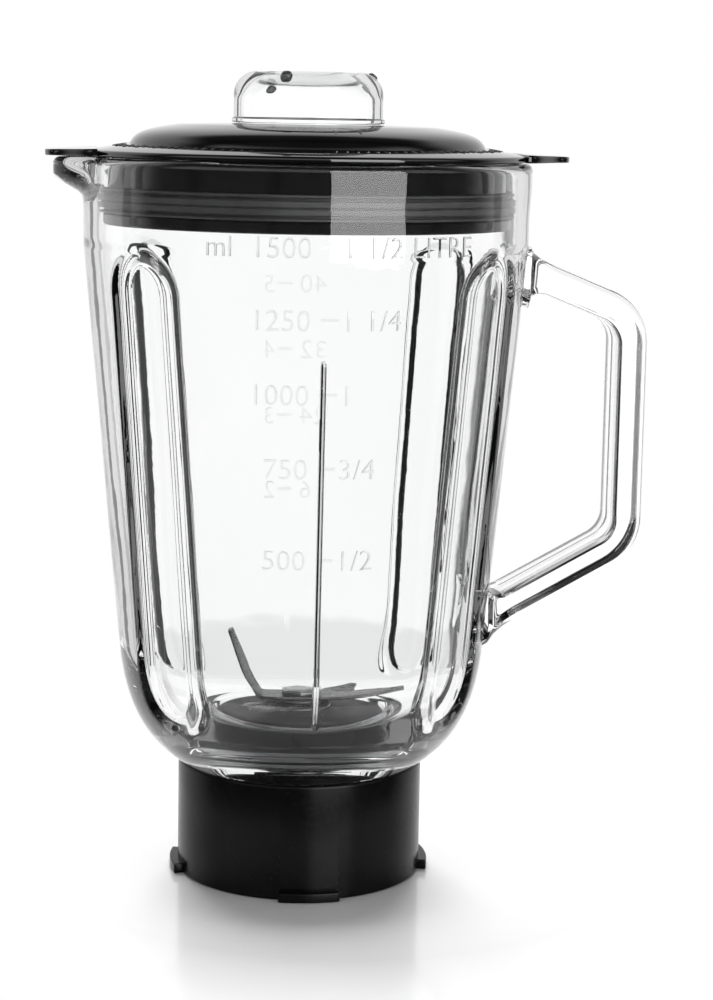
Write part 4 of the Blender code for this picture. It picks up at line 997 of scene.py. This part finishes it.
def make_cap(material, foot_material):
    """A thin clear cup, upside down in the filler hole, with three smoky feet on its top edge."""
    top = CAP["top"]
    seat = top - CAP_STANDS
    plug = HOLE_RADIUS - 0.3 * MM
    bore = plug - CAP_WALL
    bead = CAP["radius"]
    outline = [
        (plug, CAP["bottom"], 0.7 * MM),
        (plug, seat),
        (bead, seat, 0.4 * MM),
        (bead, seat + CAP_BEAD_HEIGHT, 0.5 * MM),
        (CAP_RADIUS, seat + CAP_BEAD_HEIGHT, 0.3 * MM),
        (CAP_RADIUS, top, CAP_EDGE),
        (0, top),
        (0, top - CAP_WALL),
        (bore, top - CAP_WALL, CAP_EDGE - CAP_WALL),
        (bore, CAP["bottom"], 0.7 * MM),
    ]
    cap = object_of("cap_cup", turned(filleted(outline, 12), 200), material)
    radius = CAP_RADIUS - CAP_EDGE * (1 - math.cos(PIP_SLOPE))
    height = top - CAP_EDGE * (1 - math.sin(PIP_SLOPE))
    pips = bmesh.new()
    for turn in PIP_TURNS:
        lean = Matrix.Rotation(turn, 4, "Z") @ Matrix.Rotation(math.pi / 2 - PIP_SLOPE, 4, "X")
        place = Matrix.Translation((radius * math.sin(turn), -radius * math.cos(turn), height)) @ lean
        made = bmesh.ops.create_cube(pips, size=2 * PIP_RADIUS, matrix=place)["verts"]
        edges = list({edge for vert in made for edge in vert.link_edges})
        bmesh.ops.bevel(pips, geom=edges, offset=PIP_ROUNDING, segments=5, profile=0.5, affect="EDGES")
    cap.visible_shadow = False
    declare(cap, "cap_body", "clear_plastic", "measuring_cap")
    piece_of("cap_feet", pips, foot_material, "cap_body", "black_rubber")


# ========== Collar and blade unit


def make_collar(material):
    top = COLLAR["top"]
    radius = COLLAR["radius"] - LUG_REACH
    bore = radius - COLLAR_WALL
    outline = [
        (bore, 0.0, 0.4 * MM),
        (radius, 0.0, 0.8 * MM),
        (radius, top, 1.2 * MM),
        (bore, top, 0.6 * MM),
        (bore, LEDGE_TOP, 0.4 * MM),
        (LEDGE_HOLE, LEDGE_TOP, 0.6 * MM),
        (LEDGE_HOLE, LEDGE_BOTTOM, 0.6 * MM),
        (bore, LEDGE_BOTTOM, 0.8 * MM),
    ]
    collar = object_of("collar_ring", turned(filleted(outline), 240), material)
    feet = bmesh.new()
    stops = bmesh.new()
    sunk = radius - COLLAR_WALL / 2
    outer, foot, stop = COLLAR["radius"], LUG_FOOT_HEIGHT, LUG_STOP_HEIGHT
    for turn in LUG_TURNS:
        start = turn - LUG_SPAN / 2
        add_arc_block(feet, sunk, outer, 0, foot, start, LUG_SPAN, edge=0.5 * MM)
        add_arc_block(stops, sunk, outer, foot / 2, stop, start, LUG_STOP_SPAN, 0.0, 0.6 * MM, 6)
    combine(collar, object_of("feet", feet, material), object_of("stops", stops, material))
    declare(collar, "base_collar", "black_plastic", "collar")


def make_carrier(material):
    """The black cup that holds the bushes: its top is seen through the jug's floor, under the blades."""
    top = CARRIER["top"] - BOSS_RISE
    flange = CARRIER["bottom"]
    flange_top = flange + CARRIER_WALL
    plug = NECK_BORE - CARRIER_GAP
    inside = plug - CARRIER_WALL
    seal_floor = CARRIER["top"] - SEAL_POCKET_DEPTH
    bush_top = seal_floor - 1 * MM
    outline = [
        (inside, flange, 0.4 * MM),
        (CARRIER["radius"], flange, 0.5 * MM),
        (CARRIER["radius"], flange_top, 0.5 * MM),
        (plug, flange_top, 0.5 * MM),
        (plug, top, 2.2 * MM),
        (BOSS_RADIUS + 2 * MM, top, 1.5 * MM),
        (BOSS_RADIUS, CARRIER["top"], 0.6 * MM),
        (SEAL_POCKET_RADIUS, CARRIER["top"], 0.2 * MM),
        (SEAL_POCKET_RADIUS, seal_floor),
        (SHAFT_PASSAGE, seal_floor),
        (SHAFT_PASSAGE, bush_top),
        (BUSH_BORE, bush_top),
        (BUSH_BORE, BOSS_BOTTOM, 0.2 * MM),
        (BOSS_RADIUS, BOSS_BOTTOM, 0.8 * MM),
        (BOSS_RADIUS, top - CARRIER_WALL, 1.5 * MM),
        (inside, top - CARRIER_WALL, 1.5 * MM),
    ]
    cup = turned(filleted(outline), 200)
    piece_of("carrier_cup", cup, material, "blade_unit", "black_plastic", "blade_carrier")


def wing_sections(rise, root, length):
    """Sections of one wing from the axis out to the tip: flat as far as root, then bent up by rise."""
    stations = [(0.0, 0.0, 0.0, BLADE_WIDTH), (root * 0.7, 0.0, 0.0, BLADE_WIDTH)]
    for step in range(13):
        angle = rise * step / 12
        along = root + BLADE_BEND * math.sin(angle) / rise
        up = BLADE_BEND * (1 - math.cos(angle)) / rise
        stations.append((along, up, angle, BLADE_WIDTH))
    along, up = stations[-1][:2]
    for step in range(1, 15):
        share = step / 14
        reach = (length - BLADE_BEND) * share
        width = BLADE_WIDTH + (BLADE_TIP_WIDTH - BLADE_WIDTH) * float(smooth((share - 0.35) / 0.75))
        stations.append((along + reach * math.cos(rise), up + reach * math.sin(rise), rise, width))
    sections = []
    for along, up, angle, width in stations:
        normal = Vector((-math.sin(angle), 0, math.cos(angle)))
        low = Vector((along, 0, up))
        ground = min(3.2 * MM, width * 0.4) * min(1.0, max(along - root, 0.0) / (5 * MM))
        outline = (
            (-width / 2 + 0.25 * MM, 0.0),
            (width / 2 - 0.1 * MM, 0.0),
            (width / 2, BLADE_THICKNESS * (0.25 if ground else 0.5)),
            (width / 2 - 0.1 * MM - ground, BLADE_THICKNESS),
            (-width / 2 + 0.25 * MM, BLADE_THICKNESS),
            (-width / 2, BLADE_THICKNESS * 0.5),
        )
        sections.append([low + Vector((0, side, 0)) + normal * out for side, out in outline])
    return sections


def shaft_hole(bottom, top, material):
    """The cutter of a blade's or the nut's hole, from 1 mm under it."""
    outline = [(0, bottom - MM), (SHAFT_HOLE, bottom - MM), (SHAFT_HOLE, top), (0, top)]
    return object_of("hole", turned(outline, 48), material)


def make_blade(name, node, wings, turn, bottom, material):
    """A blade of two wings, the second turned half way round, with the shaft's hole."""
    out, back = (wing_sections(*wing) for wing in wings)
    half_turn = Matrix.Rotation(math.pi, 4, "Z")
    far_side = []
    for section in reversed(back[1:]):
        around = [half_turn @ point for point in section]
        far_side.append([around[1], around[0], around[5], around[4], around[3], around[2]])
    bm = bmesh.new()
    add_sweep(bm, far_side + out[1:])
    bmesh.ops.rotate(bm, verts=bm.verts, matrix=Matrix.Rotation(turn, 3, "Z"))
    bmesh.ops.translate(bm, verts=bm.verts, vec=(0, 0, bottom))
    blade = object_of(name, bm, material)
    combine(blade, shaft_hole(bottom, bottom + 3 * MM, material), operation="DIFFERENCE")
    declare(blade, "drive", "steel", node)


def make_nut(material):
    """A low cap nut with rounded corners under a shallow dome."""
    bottom, top = NUT["bottom"], NUT["top"]
    low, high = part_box("blade_nut")
    radius = max(high.x - low.x, high.y - low.y) / 2
    bm = bmesh.new()
    deep = (top - bottom) * 0.7
    bmesh.ops.create_cone(bm, cap_ends=True, segments=6, radius1=radius, radius2=radius, depth=deep)
    bmesh.ops.translate(bm, verts=bm.verts, vec=(0, 0, bottom + deep / 2))
    bmesh.ops.bevel(bm, geom=bm.edges[:], offset=0.3 * MM, segments=3, profile=0.5, affect="EDGES")
    nut = object_of("nut", bm, material)
    dome = [
        (0, bottom + deep / 2, 0.0),
        (radius * 0.8, bottom + deep / 2, 0.0),
        (radius * 0.8, bottom + (top - bottom) * 0.75, 0.3 * MM),
        (radius * 0.5, top - 0.15 * MM, 1.5 * MM),
        (0, top, 0.0),
    ]
    combine(nut, object_of("dome", turned(filleted(dome), 64), material))
    combine(nut, shaft_hole(bottom, top - MM, material), operation="DIFFERENCE")
    declare(nut, "drive", "steel", "blade_nut")


def finish_cad_nodes(finishes):
    """Better materials for the CAD nodes that keep their own shape."""
    for material, nodes in finishes:
        for node in nodes:
            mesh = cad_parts[node].data
            mesh.materials.clear()
            mesh.materials.append(material)
            mesh.shade_smooth()
            mesh.set_sharp_from_angle(angle=math.radians(35))


# ========== Studio

GAP_START = 0.955  # eight dark gaps round the studio, where |sin 4a| passes these
GAP_FULL = 0.985
CEILING_START = 0.72  # sines of the heights where the white walls end
CEILING_FULL = 0.94
BACKDROP_WHITE = 1.15
GROUND_GREY = 0.84
GROUND_START = -0.175  # sines of the heights over which the ground turns into the backdrop
GROUND_END = -0.145
BOUNCED = 0.15  # how much light reaches a ray that bounced twice inside the glass
FRONT_DARK = 0.06
ROOM_LIGHT = 0.4
FRONT_WINDOW = 1.2  # the brightness of the high windows in front, which only upward slopes show
FLOOR_CLEAR = 0.09  # metres from the frame's origin: shadows inside this radius, glow beyond the next
FLOOR_WHITE = 0.14
FLOOR_RADIUS_ALL = 0.15
SOFTBOX_TURN = math.radians(25.3)  # from -Y towards +X
SOFTBOX_REACH = 1.5
SOFTBOX_HEIGHT = 0.525


def make_floor():
    bm = bmesh.new()
    bmesh.ops.create_circle(bm, cap_ends=True, segments=96, radius=FLOOR_RADIUS_ALL)
    floor = object_of("floor", bm, floor_white())
    floor.location.z = -0.00005


def add_light(name, place, target, size, power, seen=False):
    """A softbox at place, turned to target: gloss shows it (seen), or it lights the floor."""
    data = bpy.data.lights.new(name, "AREA")
    data.shape = "RECTANGLE"
    data.size, data.size_y = size
    data.energy = power
    light = bpy.data.objects.new(name, data)
    bpy.context.scene.collection.objects.link(light)
    light.location = place
    light.rotation_euler = (Vector(target) - Vector(place)).to_track_quat("-Z", "Y").to_euler()
    light.visible_camera = False
    light.visible_glossy = seen
    light.visible_diffuse = not seen
    light.visible_transmission = False


def make_world():
    """White to the eye. Glass shows white walls with dark gaps under a dark ceiling, and gloss a dark room
    with a white back wall and high windows in front."""
    world = bpy.data.worlds.new("studio")
    bpy.context.scene.world = world
    world.use_nodes = True
    tree = world.node_tree
    tree.nodes.clear()

    def node(kind, *inputs, **settings):
        made = tree.nodes.new(kind)
        for name, value in settings.items():
            setattr(made, name, value)
        for index, value in enumerate(inputs):
            if isinstance(value, bpy.types.NodeSocket):
                tree.links.new(value, made.inputs[index])
            elif value is not None:
                made.inputs[index].default_value = value
        return made.outputs[0]

    def maths(operation, *inputs):
        return node("ShaderNodeMath", *inputs, operation=operation)

    def ramp(value, start, end, low, high):
        return node("ShaderNodeMapRange", value, start, end, low, high, interpolation_type="SMOOTHSTEP")

    def light(strength):
        return node("ShaderNodeBackground", (1, 1, 1, 1), strength)

    def mixed(share, first, second):
        return node("ShaderNodeMixShader", share, first, second)

    ways = tree.nodes.new("ShaderNodeSeparateXYZ")
    tree.links.new(tree.nodes.new("ShaderNodeTexCoord").outputs["Generated"], ways.inputs[0])
    x, y, z = ways.outputs
    path = tree.nodes.new("ShaderNodeLightPath").outputs
    azimuth = maths("ARCTAN2", x, y)
    wave = maths("ABSOLUTE", maths("SINE", maths("MULTIPLY", azimuth, 4.0)))
    gaps = ramp(wave, GAP_START, GAP_FULL, 1.0, 0.0)
    belt = ramp(z, CEILING_START, CEILING_FULL, BACKDROP_WHITE, 0.02)
    rise = maths("ADD", z, maths("MULTIPLY", node("ShaderNodeTexNoise", None, None, 9.0, 2.0), 0.16))
    ground = ramp(rise, GROUND_START, GROUND_END, GROUND_GREY, 1.0)
    backdrop = ramp(y, 0.0, 0.45, FRONT_DARK, 1.0)
    again = ramp(path["Glossy Depth"], 0.4, 2.0, 1.0, BOUNCED)
    bounced = maths("MINIMUM", path["Glossy Depth"], 1.0)
    kept = maths("MULTIPLY_ADD", bounced, maths("MULTIPLY_ADD", backdrop, again, -1.0), 1.0)
    through = maths("MULTIPLY", maths("MULTIPLY", belt, gaps), maths("MULTIPLY", ground, kept))
    overhead = ramp(z, 0.62, 0.82, 1.0, 0.04)
    front = maths("MULTIPLY", ramp(y, -0.3, 0.0, FRONT_WINDOW, 0.0), ramp(z, 0.12, 0.25, 0.0, 1.0))
    in_gloss = light(maths("MULTIPLY", maths("MAXIMUM", backdrop, front), overhead))
    seen = mixed(path["Is Transmission Ray"], in_gloss, light(through))
    seen = mixed(path["Is Diffuse Ray"], seen, light(ROOM_LIGHT))
    seen = mixed(path["Is Camera Ray"], seen, light(1.0))
    tree.links.new(seen, tree.nodes.new("ShaderNodeOutputWorld").inputs["Surface"])


def make_studio():
    make_floor()
    make_world()
    add_light("ceiling", (AXIS_X, 1.5, 1.4), (AXIS_X, 0, 0), (1.3, 1.3), 52.0)
    across, ahead = SOFTBOX_REACH * math.sin(SOFTBOX_TURN), SOFTBOX_REACH * math.cos(SOFTBOX_TURN)
    place, target = (AXIS_X + across, -ahead, SOFTBOX_HEIGHT), (AXIS_X, 0, SOFTBOX_HEIGHT)
    add_light("softbox", place, target, (1.02, 1.35), 26.0, seen=True)
    scene = bpy.context.scene
    scene.view_settings.view_transform = "Standard"
    scene.cycles.max_bounces = 32
    scene.cycles.transmission_bounces = 32
    scene.cycles.glossy_bounces = 12
    scene.cycles.use_denoising = True


# ========== The whole


def main():
    make_camera()
    make_studio()
    glass, plastic = clear_glass(), clear_plastic()
    lid_black, collar_black, rubber = glossy_black(), satin_black(), black_rubber()
    ground, turned_bright, bronze = brushed_steel(), turned_steel(), sintered_bronze()
    make_jug(glass)
    make_scale(glass)
    make_lid(lid_black)
    make_seal(rubber)
    make_cap(plastic, smoky_plastic())
    make_collar(collar_black)
    make_carrier(collar_black)
    low, high = LOWER_BLADE["bottom"], UPPER_BLADE["bottom"]
    make_blade("ground_lower_blade", "lower_blade", LOWER_WINGS, LOWER_BLADE_TURN, low, ground)
    make_blade("ground_upper_blade", "upper_blade", UPPER_WINGS, UPPER_BLADE_TURN, high, ground)
    make_nut(turned_bright)
    finish_cad_nodes(
        (
            (collar_black, ("drive_coupling",)),
            (rubber, ("shaft_seal",)),
            (silicone(), ("jug_gasket",)),
            (bronze, ("lower_bush", "upper_bush", "coupling_insert")),
            (turned_bright, ("drive_shaft", "thrust_washer", "lower_washer", "blade_spacer", "circlip")),
        )
    )


main()
